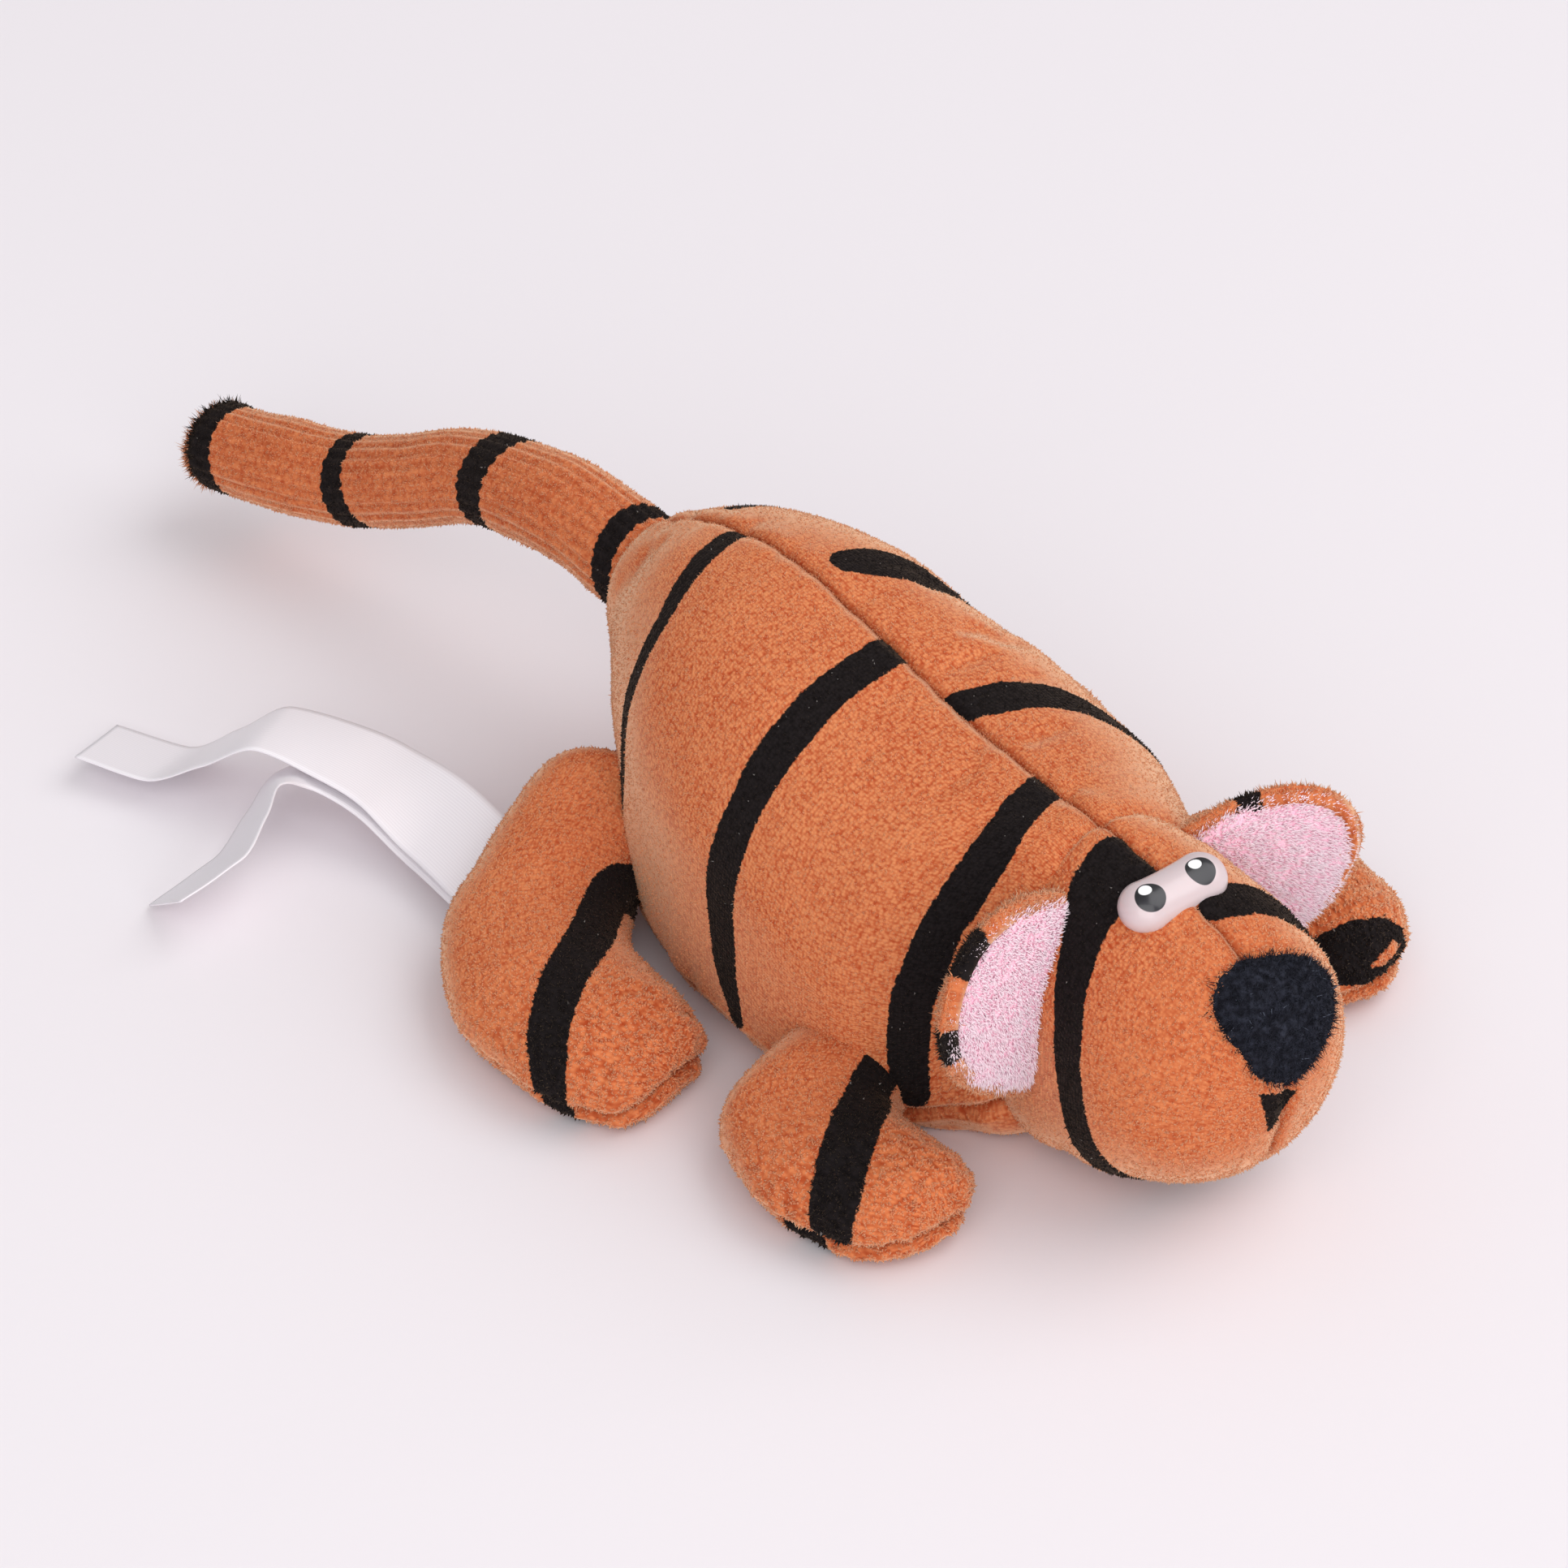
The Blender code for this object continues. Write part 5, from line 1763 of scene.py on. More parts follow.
@dataclass(frozen=True)
class Ear:
    """One ear: a pink plush front sewn to a striped velour back."""

    side: Side
    reach: float
    lean: float
    bars: tuple
    height: float = 0.0240
    root: float = 0.0040
    front_thickness: float = 0.0017
    back_thickness: float = 0.0019
    turn_thickness: float = 0.0010
    turn_rings: int = 6
    rim: float = 0.0009
    bow: float = 0.0016
    base_top: tuple = (0.0086, -0.0440, 0.0356)
    base_bottom: tuple = (0.0152, -0.0458, 0.0131)
    sweep_forward: float = 12.0
    fullness: float = 0.8
    rings: int = 40
    spokes: int = 90
    gap: float = 0.05 * MM
    bend_mm: tuple = (-1.0, 3.0)
    bars_from_mm: float = 7.0
    shag: float = 0.4
    fill: float = 0.4
    comb: float = 0.9
    comb_from: float = 6 * MM
    back_lumps: Lumps = Lumps(0.15 * MM, 3 * MM, 47)
    turn_lumps: Lumps = Lumps(0.15 * MM, 3 * MM, 48)
    front_lumps: Lumps = Lumps(0.2 * MM, 2.4 * MM, 49)
    plush: Pile = Pile(20.0, 0.65 * MM, 0.26 * MM, lean=0.35, curl=0.2, rings=2, seed=41)
    coat: Pile = Pile(20.0, 0.42 * MM, 0.24 * MM, lean=0.9, curl=0.4, seed=43)

    def axes(self) -> tuple[np.ndarray, np.ndarray, np.ndarray, np.ndarray]:
        """Middle of the base, and the directions up, out and facing.

        Returns:
            One point and three unit vectors.
        """
        mirror = np.array([self.side.value, 1, 1])
        top, bottom = np.array(self.base_top) * mirror, np.array(self.base_bottom) * mirror
        rise = unit(top - bottom)
        sweep = math.radians(self.sweep_forward)
        out = np.array([self.side.value * math.cos(sweep), -math.sin(sweep), 0])
        out = unit(out - rise * (out @ rise))
        return (top + bottom) / 2, rise, out, np.cross(out, rise) * self.side.value

    def layer(self, thickness: float, inset: float, facing: int, swell: float) -> Surface:
        """Half of a D-shaped pillow: out is the cosine to its fullness, up the
        sine, pushed up by lean further out, and its lift a share of thickness
        that falls to the rim.

        Args:
            thickness: Greatest thickness.
            inset: How far its rim is drawn in.
            facing: 1 on the pink side, -1 on the back.
            swell: Power of the fall to the rim; more is flatter and fuller.

        Returns:
            The layer's outer surface.
        """
        middle, rise, out, face = self.axes()
        turns = np.linspace(-math.pi / 2, math.pi / 2, self.spokes)
        share = np.linspace(0, 1, self.rings)[:, None]
        reach, half = self.reach - inset, self.height / 2 - inset
        across = -self.root + (self.root + reach * np.cos(turns) ** self.fullness) * share
        outer = np.clip(across / self.reach, 0, 1)
        along = half * np.sin(turns) * share + self.lean * outer
        rise_share = np.sqrt(np.maximum(1 - share ** swell, 0))
        lift = facing * thickness * rise_share + self.bow * (across / self.reach) ** 2
        lift = lift + facing * self.gap
        flat = middle + across[..., None] * out + along[..., None] * rise
        return Surface(flat + lift[..., None] * face)

    def bar_distance(self, surface: Surface) -> np.ndarray:
        """Distance in mm from the black bars that cross the ear's rim.

        Args:
            surface: A surface of the ear.

        Returns:
            One distance for each point.
        """
        middle, rise, out, _ = self.axes()
        off = (surface.points - middle) / MM
        turn = np.degrees(np.arctan2(off @ rise, off @ out))
        far = np.linalg.norm(off, axis=-1)
        gaps = [np.abs(np.radians(turn - at)) * far - wide / 2 for at, wide in self.bars]
        return np.maximum(np.minimum(*gaps), self.bars_from_mm - far)

    def marked(self, surface: Surface) -> Surface:
        """The same velour surface with its bars and its nap's length on it.

        Args:
            surface: A surface of the ear.

        Returns:
            The same surface.
        """
        surface.marks[PRINT_MARK] = self.bar_distance(surface)
        surface.marks[SHAG_MARK] = np.full(surface.points.shape[:2], self.shag)
        return surface

    def build(self, finishes: Finishes) -> list[Object]:
        """Make both layers, the velour turned over the rim, and their pile.

        Args:
            finishes: The toy's materials.

        Returns:
            The pieces made.
        """
        word, body = self.side.word, f"ear_{self.side.word}"
        middle, _, out, _ = self.axes()
        joint = Joint("head", body, *(tuple(middle + out * at * MM) for at in self.bend_mm))
        back = self.layer(self.back_thickness, 0, -1, 5.0)
        back = self.marked(self.back_lumps.swell(back))
        velour = back.piece(f"ear_{word}_velour", finishes.velour)
        thicken(velour, self.back_thickness)
        settle(velour, "velour", joint, f"ear_{word}_back", fill=self.fill)
        whole = self.turn_lumps.swell(self.layer(self.turn_thickness, 0, 1, 3.0))
        turned = self.marked(Surface(whole.points[-self.turn_rings:]))
        rim = turned.piece(f"ear_{word}_rim_velour", finishes.velour)
        settle(rim, "velour", joint)
        fuzz = self.coat.piece(f"ear_{word}_rim_nap", turned, finishes.velour)
        settle(fuzz, "velour", joint)
        front = self.layer(self.front_thickness, self.rim, 1, 4.0)
        front = self.front_lumps.swell(front)
        plush = front.piece(f"ear_{word}_plush", finishes.pink)
        thicken(plush, self.front_thickness)
        settle(plush, "pink_plush", joint, f"ear_{word}_front", fill=self.fill)
        comb = unit(front.points - (middle - out * self.comb_from)) * self.comb
        fringe = self.plush.piece(f"ear_{word}_pile", front, finishes.pink, comb)
        settle(fringe, "pink_plush", joint)
        edge = self.coat.piece(f"ear_{word}_nap", back, finishes.velour)
        settle(edge, "velour", joint)
        return [velour, rim, fuzz, plush, fringe, edge]


def make_ears() -> tuple[Ear, Ear]:
    """Both ears, each with its own outline and the bars printed on its rim:
    angle from its middle in degrees and width in mm.

    Returns:
        The left ear and the right one.
    """
    return (
        Ear(Side.LEFT, reach=0.0188, lean=0.0010, bars=((56, 2.6), (-78, 3.4))),
        Ear(Side.RIGHT, reach=0.0219, lean=0.0052, bars=((29, 5.6), (-1, 4.8))),
    )


# Legs


REAR_SHARES = (
    (-0.190, -0.110, -60.0, 0.000, 0.550, 0.550),
    (0.000, 0.000, -57.0, 0.405, 0.100, 1.000),
    (0.215, 0.075, -47.0, 0.425, 0.000, 0.830),
    (0.450, 0.235, -30.0, 0.487, 0.000, 0.700),
    (0.572, 0.470, -14.0, 0.500, 0.000, 0.655),
    (0.583, 0.722, -2.0, 0.478, 0.000, 0.640),
    (0.542, 0.917, 8.0, 0.375, 0.020, 0.550),
    (0.514, 1.008, 12.0, 0.000, 0.280, 0.280),
)
FRONT_SHARES = (
    (-0.260, -0.200, -62.0, 0.000, 0.540, 0.540),
    (0.000, 0.000, -55.0, 0.380, 0.000, 1.000),
    (0.285, 0.080, -48.0, 0.437, 0.000, 1.000),
    (0.488, 0.203, -34.0, 0.500, 0.000, 0.960),
    (0.549, 0.467, -18.0, 0.500, 0.000, 0.920),
    (0.510, 0.740, -8.0, 0.458, 0.000, 0.850),
    (0.440, 1.000, 0.0, 0.000, 0.380, 0.380),
)


@dataclass(frozen=True)
class Leg:
    """A shoe-shaped foot: an upper panel, a sole panel and the stuffing."""

    name: str
    side: Side
    shares: tuple
    root: tuple[float, float]
    reach: float
    width: float
    height: float
    hinge: tuple[float, float, float]
    splay: float = 0.0
    upper_stripes: tuple = ()
    sole_stripes: tuple = ()
    seam_angle: float = -22.0
    squareness: float = 2.2
    flat_share: float = 0.1
    crowding: float = 1.4
    bend_mm: tuple = (-1.0, 7.0)
    toe_from: float = 0.42
    toe_run: float = 0.22
    shag: float = 0.25
    fill: float = 0.9
    lump_height: float = 0.3 * MM
    lump_size: float = 6 * MM
    tuft_height: float = 0.22 * MM
    tuft_size: float = 1.1 * MM
    stuffing_rows: int = 60
    stuffing_columns: int = 64
    rows: int = 90
    upper_columns: int = 72
    sole_columns: int = 40
    upper_seam: Seam = Seam(
        depth=1.1 * MM, width=0.8 * MM, lip=0.2 * MM, pucker=0.3 * MM, reach=2.6 * MM,
        pitch=1.6 * MM, seed=13,
    )
    sole_seam: Seam = Seam(
        depth=1.1 * MM, width=0.8 * MM, lip=0.35 * MM, lip_place=1.7 * MM, pucker=0.25 * MM,
        reach=2.4 * MM, pitch=1.6 * MM, seed=13,
    )
    drape: Stuffed = Stuffed(rows=32, columns=26, cap=0.6 * MM, inset=0.6 * MM)
    coat: Pile = Pile(8.0, 0.21 * MM, 0.3 * MM, lean=0.8, curl=0.3, shag=0.5, seed=75)
    sole_coat: Pile = Pile(6.0, 0.21 * MM, 0.3 * MM, lean=0.8, curl=0.3, shag=0.5, seed=76)

    def rings(self, count: int, angles: np.ndarray) -> np.ndarray:
        """Upright rings along a bent path from inside the flank to a round toe.

        The last span closes as a quarter circle does: its sizes follow the
        root of 1 less the span's share squared.

        Args:
            count: Number of rings.
            angles: Angles round each ring, in radians.

        Returns:
            A grid of points.
        """
        rows = np.array(self.shares)
        last = len(rows) - 1
        even = np.linspace(0, 1, count)
        at = (1 - (1 - even) ** self.crowding) * last
        table = pchip(np.arange(len(rows)), rows, at)
        share = np.clip(at - (last - 1), 0, 1)
        round_off = np.sqrt(np.maximum(1 - share ** 2, 0))
        final = at > last - 1
        for column in (3, 4, 5):
            rounded = rows[-1, column] + (rows[-2, column] - rows[-1, column]) * round_off
            table[:, column] = np.where(final, rounded, table[:, column])
        out, ahead, facing, half, low, high = table.T
        sink = FLOOR_CUT * (1 - np.clip(low / self.flat_share, 0, 1))
        middle = (high + low) / 2 * self.height - sink / 2
        tall = np.maximum((high - low) / 2 * self.height + sink / 2, 0)
        facing = np.radians(facing)
        cosine, sine = superellipse(angles, self.squareness)
        lateral = np.stack([-np.cos(facing), np.sin(facing)], axis=-1)
        centre = np.stack([out, -ahead], axis=-1) * self.reach
        narrow = half * self.width
        spread_out = lateral[:, None] * narrow[:, None, None] * cosine[None, :, None]
        plan = centre[:, None] + spread_out
        turn = math.radians(self.splay)
        spin = np.array([[math.cos(turn), -math.sin(turn)], [math.sin(turn), math.cos(turn)]])
        plan = plan @ spin.T + np.array(self.root)
        z = middle[:, None] + tall[:, None] * sine
        return np.stack([self.side.value * plan[..., 0], plan[..., 1], z], axis=-1)

    def joint(self) -> Joint:
        """Where the leg's cloth bends from the flank to the foot.

        Returns:
            The joint.
        """
        facing = math.radians(self.shares[1][2] + self.splay)
        way = np.array([-math.sin(facing) * self.side.value, -math.cos(facing), 0])
        hinge = np.array(self.hinge) * [self.side.value, 1, 1]
        return Joint("torso", self.name, *(tuple(hinge + way * at * MM) for at in self.bend_mm))

    def build(self, finishes: Finishes) -> list[Object]:
        """Make the upper, the sole and the stuffing.

        Args:
            finishes: The toy's materials.

        Returns:
            The pieces made.
        """
        made = []
        low, high = self.seam_angle, 180 - self.seam_angle
        panels = (
            ("upper", (low, high), self.upper_columns, self.upper_stripes,
             self.upper_seam, self.coat),
            ("sole", (high, 360 + low), self.sole_columns, self.sole_stripes,
             self.sole_seam, self.sole_coat),
        )
        seed = sum(map(ord, self.name))
        lumps = Lumps(self.lump_height, self.lump_size, seed)
        tufts = Lumps(self.tuft_height, self.tuft_size, seed + 5)
        for word, span, columns, stripes, seam, coat in panels:
            angles = np.radians(np.linspace(*span, columns))
            cloth = self.drape.settled(Surface(self.rings(self.rows, angles)))
            cloth = lumps.swell(cloth)
            cloth = seam.sew(cloth, np.concatenate([cloth.points[:, 0], cloth.points[::-1, -1]]))
            even = np.linspace(0, 1, self.rows)[:, None]
            toe = np.clip((even - self.toe_from) / self.toe_run, 0, 1)
            rough = tufts.swell(cloth)
            cloth.points[:] = cloth.points + toe[..., None] * (rough.points - cloth.points)
            shag = self.shag + (1 - self.shag) * toe
            cloth.marks[SHAG_MARK] = shag + 0 * cloth.points[..., 2]
            cloth = printed(on_floor(cloth), stripes)
            name = f"{self.name}_{word}"
            made += dressed(name, name, cloth, finishes, self.joint(), self.fill, coat)
        around = np.radians(np.linspace(0, 360, self.stuffing_columns, endpoint=False))
        whole = Surface(self.rings(self.stuffing_rows, around), closed=True)
        name = f"{self.name}_stuffing"
        made.append(stuffing(name, whole, finishes, self.joint(), self.fill))
        return made


def make_legs() -> tuple[Leg, ...]:
    """The four legs with their printed stripes.

    Returns:
        Rear right, rear left, front right and front left.
    """
    rear = dict(width=0.0219, height=0.0200, shares=REAR_SHARES, root=(0.0190, 0.0228),
                hinge=(0.0165, 0.0205, 0.0105))
    front = dict(width=0.0192, height=0.0130, shares=FRONT_SHARES, root=(0.0183, -0.0240),
                 hinge=(0.0195, -0.0245, 0.0068))
    return (
        Leg("rear_right_leg", Side.RIGHT, reach=0.0360, **rear, upper_stripes=(
            Stripe((
                (-20.5, 10.4, 7.0, 6.0), (-24.5, 10.6, 11.0, 5.6), (-30.1, 7.5, 13.0, 5.0),
                (-36.4, 3.6, 13.4, 5.0),
                (-42.1, 0.2, 13.0, 5.0), (-46.6, -3.2, 11.6, 4.8), (-49.4, -6.0, 9.3, 4.4),
                (-50.0, -7.0, 5.0, 4.0),
            )),
        ), sole_stripes=(
            Stripe(((-50.0, -7.0, 5.0, 3.6), (-48.6, -7.4, 1.0, 3.2), (-44.0, -7.0, 0.0, 2.0))),
        )),
        Leg("rear_left_leg", Side.LEFT, reach=0.0360 * 0.72, splay=-12.0, **rear, upper_stripes=(
            Stripe((
                (20.0, 10.0, 12.0, 3.6), (25.0, 6.0, 13.4, 4.2), (30.5, 2.5, 12.6, 4.4),
                (34.0, 0.6, 9.0, 4.2), (35.4, 0.0, 4.0, 3.6),
            )),
        )),
        Leg("front_right_leg", Side.RIGHT, reach=0.0262, **front, upper_stripes=(
            Stripe((
                (-17.5, -28.5, 9.5, 4.0), (-23.7, -32.8, 11.6, 4.8), (-29.9, -36.4, 12.2, 5.2),
                (-34.9, -39.9, 11.6, 5.4), (-38.4, -42.4, 9.6, 5.4), (-40.4, -43.6, 5.4, 5.0),
            )),
        ), sole_stripes=(
            Stripe((
                (-39.4, -36.0, 5.0, 3.6), (-39.8, -38.4, 3.2, 3.8), (-39.2, -40.0, 1.4, 3.8),
                (-36.6, -40.0, 0.0, 3.0),
            )),
        )),
        Leg("front_left_leg", Side.LEFT, reach=0.0262 * 1.08, splay=12.0, **front, upper_stripes=(
            Stripe((
                (26.0, -43.6, 8.0, 3.0), (29.5, -45.4, 8.6, 4.8), (32.4, -46.6, 8.8, 5.6),
                (35.0, -46.7, 8.9, 4.2), (37.4, -46.6, 9.0, 2.8), (39.8, -47.3, 7.7, 1.8),
            )),
            Stripe((
                (30.0, -47.0, 7.4, 3.0), (33.4, -49.6, 6.2, 1.8), (36.2, -50.4, 5.2, 1.4),
                (38.8, -49.6, 5.6, 1.2), (40.2, -48.2, 6.6, 1.4),
            )),
        )),
    )


# Tail


@dataclass(frozen=True)
class Tail:
    """A velour tube with printed rings, stuffed, with a fuzzy tip."""

    centre: tuple = (0.0, 0.0372, 0.0284)
    length: float = 0.0776
    radius: float = 0.0058
    ball_radius: float = 0.0062
    rows: int = 200
    columns: int = 84
    ribs: int = 22
    rib_height: float = 0.00016
    ribs_above: float = 3 * MM
    # How strong the painted shade in the valleys between ribs is
    rib_shade: float = 0.35
    crowding: float = 1.3
    round_from: float = 0.955
    round_run: float = 0.045
    roundness: float = 2.2
    # The root's ball: how far behind the centre, and its share of the radius
    ball: tuple = ((-4 * MM, 0.8), (-2.4 * MM, 1.0))
    bend: tuple = ((0, 0.0362, 0.0284), (0, 0.0462, 0.0284))
    lumps: Lumps = Lumps(0.22 * MM, 6 * MM, 63)
    shag: float = 0.6
    fill: float = 0.9
    fuzz_from: float = 0.93
    shares: tuple = (
        (0.000, 0.000, 0.000, 1.03),
        (-0.005, 0.184, 0.008, 1.02),
        (-0.014, 0.316, -0.010, 0.98),
        (-0.025, 0.434, -0.046, 0.95),
        (-0.049, 0.541, -0.100, 0.94),
        (-0.073, 0.679, -0.163, 0.97),
        (-0.100, 0.786, -0.186, 0.99),
        (-0.120, 0.905, -0.214, 0.96),
        (-0.133, 0.975, -0.224, 0.86),
        (-0.137, 1.000, -0.227, 0.00),
    )
    # Rings of print: how far back, width, and how far the top lags, in mm
    rings_mm: tuple = ((39.6, 3.3, 1.6), (64.8, 4.4, -0.9), (88.0, 4.0, 0.3), (110.6, 4.0, 0.6))
    coat: Pile = Pile(9.0, 0.2 * MM, 0.26 * MM, lean=0.7, curl=0.3, shag=0.2, seed=77)
    tip: Pile = Pile(14.0, 0.8 * MM, 0.18 * MM, lean=0.5, curl=0.3, rings=2, seed=61)

    def path(self) -> tuple[np.ndarray, np.ndarray]:
        """Centres and radii: the root ball, then the tube to a round tip.

        Returns:
            Points, and one radius for each.
        """
        shares = np.array(self.shares)
        table = shares * [self.length, self.length, self.length, self.radius]
        even = np.linspace(0, 1, self.rows)
        at = np.clip(1 - (1 - even) ** self.crowding, 0, 1)
        tube = pchip(shares[:, 1], table, at)
        close = np.clip((at - self.round_from) / self.round_run, 0, 1)
        fuller = table[7, 3] * np.sqrt(np.maximum(1 - close ** self.roundness, 0))
        full = np.maximum(tube[:, 3], table[7, 3])
        tube[:, 3] = np.where(at > self.round_from, fuller, full)
        inside = np.array([[0, back, 0, self.ball_radius * share] for back, share in self.ball])
        rows = np.vstack([inside, tube])
        return rows[:, :3] + np.array(self.centre), rows[:, 3]

    def surface(self) -> Surface:
        """Rings square to the path, whose radius has small ribs of knit:
        radius plus rib height by the cosine of ribs times the angle.

        Returns:
            The tube with its print.
        """
        centres, radii = self.path()
        angles = np.linspace(0, 2 * math.pi, self.columns, endpoint=False)
        along = unit(np.gradient(centres, axis=0))
        side = unit(np.cross(along, (0, 0, 1)))
        up = np.cross(side, along)
        cosine, sine = np.cos(angles)[None, :, None], np.sin(angles)[None, :, None]
        way = side[:, None] * cosine + up[:, None] * sine
        wave = np.cos(self.ribs * angles) * (radii[:, None] > self.ribs_above)
        ribbed = radii[:, None] + self.rib_height * wave
        surface = Surface(centres[:, None] + ribbed[..., None] * way, closed=True)
        surface = self.lumps.swell(surface)
        back = centres[:, 1:2] / MM
        least = np.full(ribbed.shape, NO_PRINT_MM)
        for place, width, lag in self.rings_mm:
            gap = np.abs(back - place - lag * np.sin(angles)) - width / 2
            least = np.minimum(least, gap)
        surface.marks[PRINT_MARK] = least
        surface.marks[SHAG_MARK] = np.full(least.shape, self.shag)
        # Painted shade in the valleys between ribs
        surface.marks[GROOVE_SHADE_MARK] = self.rib_shade * (1 - wave) / 2
        return surface

    def build(self, finishes: Finishes) -> list[Object]:
        """Make the cover, its fuzzy tip and the stuffing.

        Args:
            finishes: The toy's materials.

        Returns:
            The pieces made.
        """
        joint = Joint("torso", "tail", *self.bend)
        surface = self.surface()
        made = dressed("tail", "tail_cover", surface, finishes, joint, self.fill, self.coat)
        last = slice(int(self.rows * self.fuzz_from), None)
        marks = {mark: values[last] for mark, values in surface.marks.items()}
        end = Surface(surface.points[last], True, marks, surface.uv[last])
        fuzz = self.tip.piece("tail_tip_fuzz", end, finishes.velour)
        made.append(settle(fuzz, "velour", joint))
        made.append(stuffing("tail_stuffing", surface, finishes, joint, self.fill))
        return made


# Label


@dataclass(frozen=True)
class Ribbon:
    """A flat satin ribbon that bends and twists along its run."""

    name: str
    shares: tuple
    width: float = 0.0116
    length: float = 0.0600
    thickness: float = 0.0002
    cup: float = 0.12 * MM
    cup_turn: float = 9.0
    root: tuple = (-0.0318, 0.0285, 0.0068)
    steps: int = 120
    columns: int = 15

    def surface(self) -> Surface:
        """Lines across the ribbon at each step of its run, slightly cupped.

        Returns:
            The ribbon's middle surface.
        """
        rows = np.array(self.shares)
        at = pchip(np.linspace(0, 1, len(rows)), rows, np.linspace(0, 1, self.steps))
        run = np.array(self.root) + at[:, :3] * [-self.length, self.length, self.length]
        across = unit(at[:, 3:])
        normal = unit(np.cross(across, np.gradient(run, axis=0)))
        share = np.linspace(-1, 1, self.columns)
        points = run[:, None] + (share * self.width / 2)[None, :, None] * across[:, None]
        wave = np.sin(np.linspace(0, self.cup_turn, self.steps))[:, None]
        cup = self.cup * (share ** 2)[None, :] * wave
        return Surface(points + normal[:, None] * cup[..., None])

    def flat_length(self) -> float:
        """Length of the ribbon's middle line."""
        middle = self.surface().points[:, self.columns // 2]
        return float(np.linalg.norm(np.diff(middle, axis=0), axis=-1).sum())

    def build(self, finishes: Finishes) -> list[Object]:
        """Args:
            finishes: The toy's materials.

        Returns:
            The piece made.
        """
        piece = self.surface().piece(self.name + "_satin", finishes.satin)
        thicken(piece, self.thickness)
        settle(piece, "satin", "label", self.name)
        self.flat_length()
        return [piece]


def make_ribbons() -> tuple[Ribbon, Ribbon]:
    """Both plain ribbons of the label.

    Returns:
        The long one and the short one.
    """
    return (
        Ribbon("label_ribbon_long", (
            (0.000, 0.000, 0.000, 0.84, 0.25, 0.40),
            (-0.012, 0.170, 0.000, 0.86, 0.28, 0.36),
            (0.002, 0.320, 0.020, 0.90, 0.42, 0.06),
            (0.043, 0.425, 0.043, 0.90, 0.44, -0.05),
            (0.103, 0.540, 0.057, 0.83, 0.54, -0.16),
            (0.175, 0.632, -0.011, 0.84, 0.50, -0.21),
            (0.247, 0.734, -0.076, 0.86, 0.45, -0.26),
            (0.310, 0.874, -0.073, 0.82, 0.50, -0.28),
        )),
        Ribbon("label_ribbon_short", (
            (0.000, 0.000, -0.022, 0.84, 0.25, 0.40),
            (-0.012, 0.167, -0.028, 0.86, 0.28, 0.34),
            (0.008, 0.308, -0.010, 0.90, 0.42, 0.02),
            (0.067, 0.425, 0.010, 0.80, 0.56, -0.20),
            (0.160, 0.450, 0.018, 0.45, 0.74, -0.50),
            (0.262, 0.388, 0.010, 0.25, 0.78, -0.57),
            (0.368, 0.333, -0.013, 0.16, 0.80, -0.58),
            (0.455, 0.333, -0.036, 0.12, 0.80, -0.59),
            (0.512, 0.333, -0.046, 0.12, 0.79, -0.60),
        )),
    )


# Stage


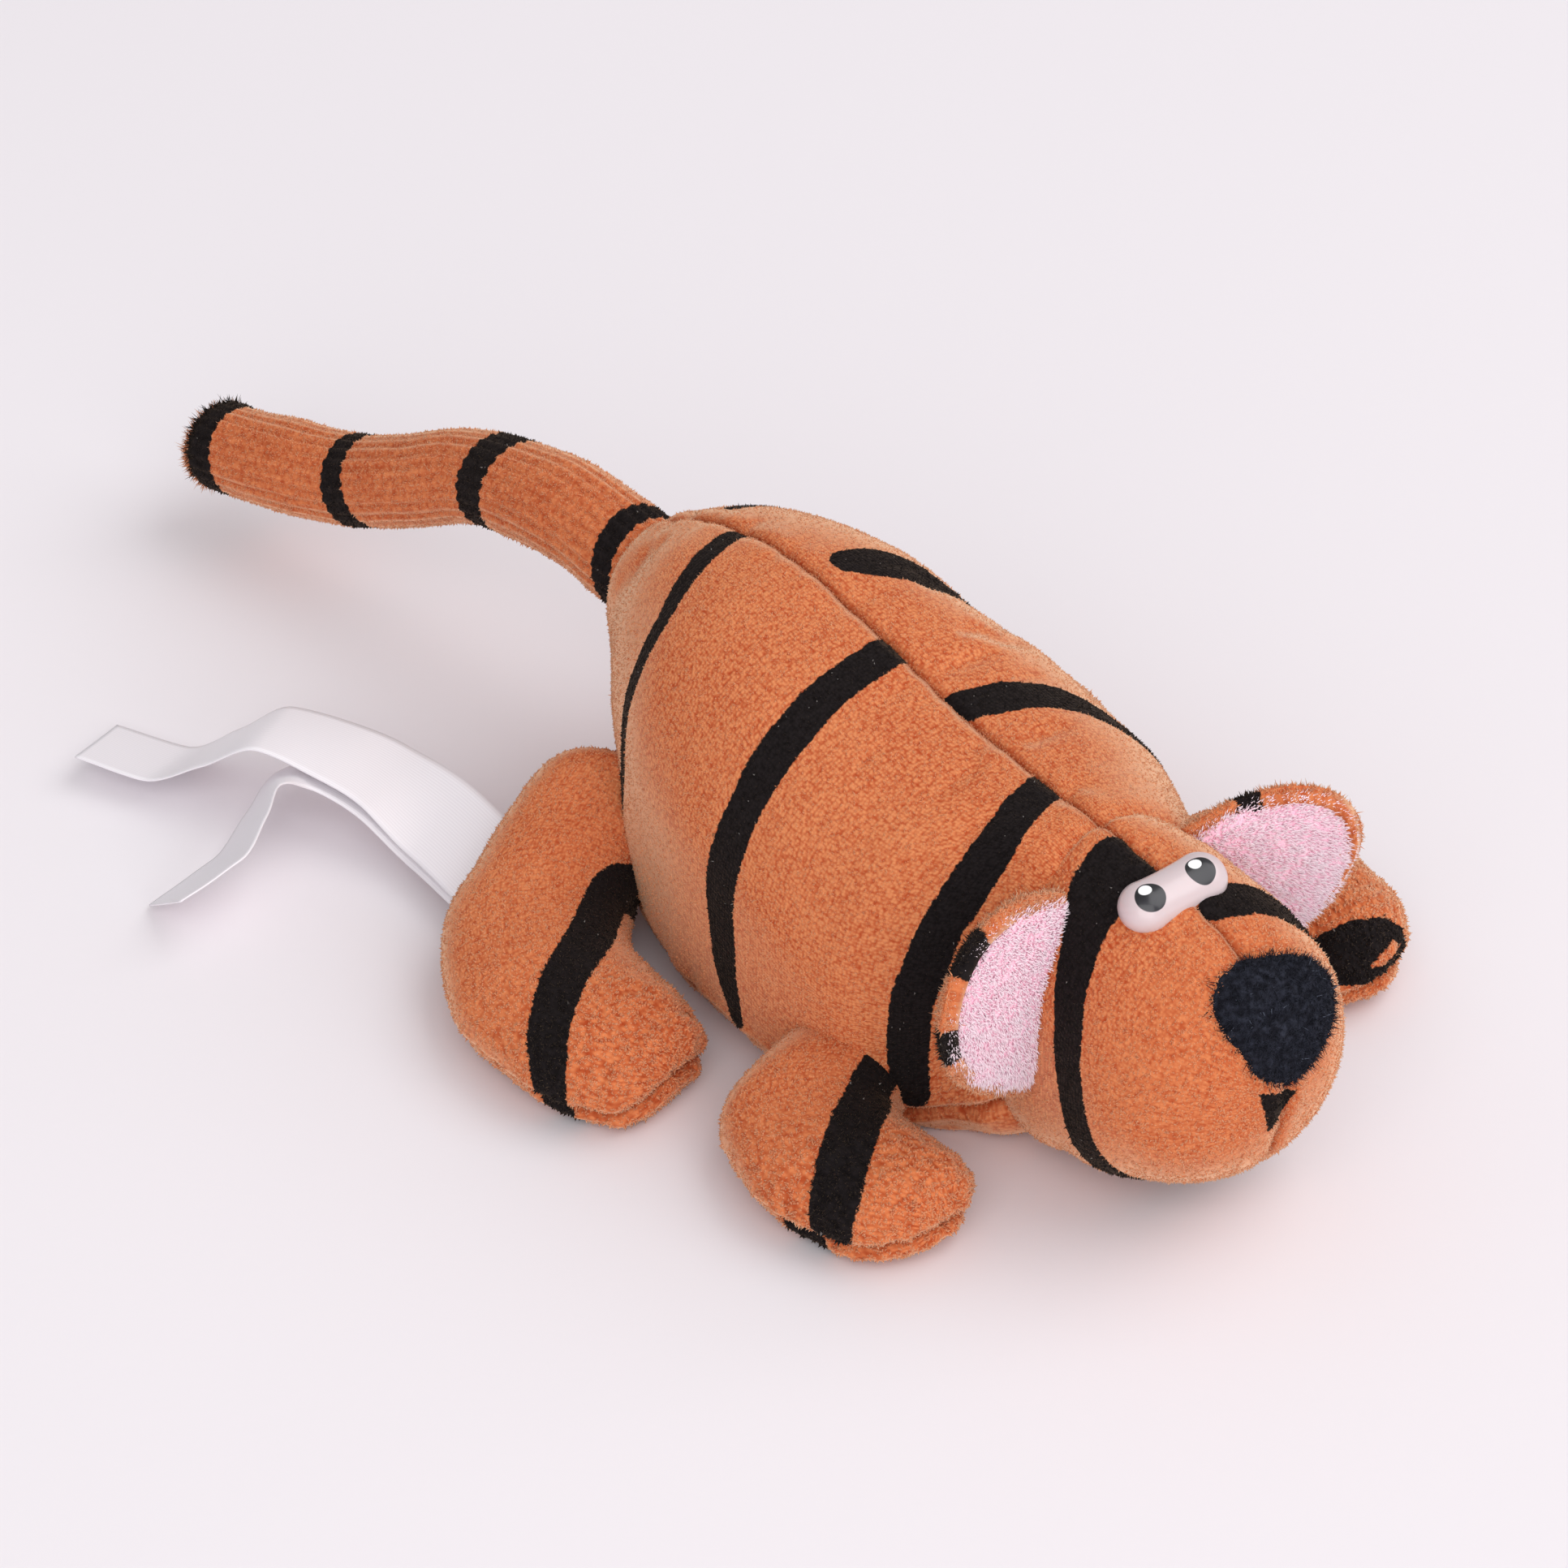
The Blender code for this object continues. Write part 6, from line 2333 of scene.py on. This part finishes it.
@dataclass(frozen=True)
class Stage:
    """Camera at the photograph's angle, pale paper floor and soft light."""

    azimuth: float = -39.0
    elevation: float = 37.5
    distance: float = 0.650
    lens: float = 133.2
    aim_right: float = 0.008545
    aim_up: float = 0.00327
    aim_height: float = 0.024
    paper: PlainFinish = PlainFinish(
        "paper, uncoated", "EDE8EC", 0.9, 1.2, bump=0.15, bump_mm=0.1, specular=0.1
    )
    floor_size: float = 4.0
    # A lamp's place: to the camera's right, away from it on the level, and up
    key_place: tuple = (1.24, 0.06, 1.56)
    key_size: float = 2.0
    key_watts: float = 21.6
    fill_place: tuple = (0.05, -1.75, 1.0)
    fill_size: float = 2.4
    fill_watts: float = 31.3
    sky: str = "FCFAFC"
    world_level: float = 0.5

    def axes(self) -> tuple[Vector, Vector, Vector]:
        """The camera's right, up and back directions.

        Returns:
            Three unit vectors.
        """
        turn, tilt = math.radians(self.azimuth), math.radians(self.elevation)
        back = Vector((
            math.sin(turn) * math.cos(tilt), -math.cos(turn) * math.cos(tilt), math.sin(tilt),
        ))
        right = Vector((math.cos(turn), math.sin(turn), 0))
        return right, back.cross(right), back

    def camera(self) -> None:
        """Place the camera so that the tiger stands where it does in the photo."""
        right, upward, back = self.axes()
        data = bpy.data.cameras.new("camera")
        data.lens = self.lens
        data.clip_end = 10
        eye = bpy.data.objects.new("camera", data)
        aim = Vector((0, 0, self.aim_height)) - right * self.aim_right - upward * self.aim_up
        eye.matrix_world = Matrix.Translation(aim + back * self.distance) @ Matrix(
            (right, upward, back)
        ).transposed().to_4x4()
        bpy.context.scene.collection.objects.link(eye)
        bpy.context.scene.camera = eye

    def lamp(self, name: str, place: Vector, size: float, watts: float) -> None:
        """A square soft lamp that faces the toy.

        Args:
            name: What it is called.
            place: Where it stands.
            size: Length of its sides.
            watts: Its power.
        """
        data = bpy.data.lights.new(name, "AREA")
        data.size = size
        data.energy = watts
        lamp = bpy.data.objects.new(name, data)
        turn = place.to_track_quat("Z", "Y").to_matrix().to_4x4()
        lamp.matrix_world = Matrix.Translation(place) @ turn
        bpy.context.scene.collection.objects.link(lamp)

    def build(self) -> None:
        """Make the floor, lamps, world and camera."""
        scene = bpy.context.scene
        scene.view_settings.view_transform = "Standard"
        half = self.floor_size / 2
        corners = np.array([(-half, -half, 0), (half, -half, 0), (half, half, 0), (-half, half, 0)])
        floor = mesh_piece("floor", corners, [(0, 1, 2, 3)], self.paper.material())
        world = bpy.data.worlds.new("studio")
        scene.world = world
        world.use_nodes = True
        shade = world.node_tree.nodes["Background"]
        shade.inputs["Color"].default_value = linear(self.sky)
        shade.inputs["Strength"].default_value = self.world_level
        right, upward, _ = self.axes()
        level = Vector((upward.x, upward.y, 0)).normalized()
        for name, (across, ahead, rise), size, watts in (
            ("softbox", self.key_place, self.key_size, self.key_watts),
            ("fill", self.fill_place, self.fill_size, self.fill_watts),
        ):
            stand = right * across + level * ahead + Vector((0, 0, rise))
            self.lamp(name, stand, size, watts)
        self.camera()


# Main


def main() -> None:
    """Build the stage and every piece."""
    logging.basicConfig(level=logging.INFO)
    Stage().build()
    finishes = make_finishes()
    head = Head()
    builders = (
        ("body", lambda: Body().build(finishes)),
        ("head", lambda: head.build(finishes)),
        ("nose", lambda: Nose().build(finishes, head)),
        ("eyes", lambda: Eyes().build(finishes)),
        *((f"{ear.side.word} ear", lambda ear=ear: ear.build(finishes)) for ear in make_ears()),
        *((leg.name, lambda leg=leg: leg.build(finishes)) for leg in make_legs()),
        ("tail", lambda: Tail().build(finishes)),
        *((ribbon.name, lambda ribbon=ribbon: ribbon.build(finishes)) for ribbon in make_ribbons()),
    )
    for name, build in builders:
        pieces = build()
        faces = sum(len(piece.data.polygons) for piece in pieces)
        LOG.info("%s: %d pieces, %d faces", name, len(pieces), faces)


if __name__ == "__main__":
    main()
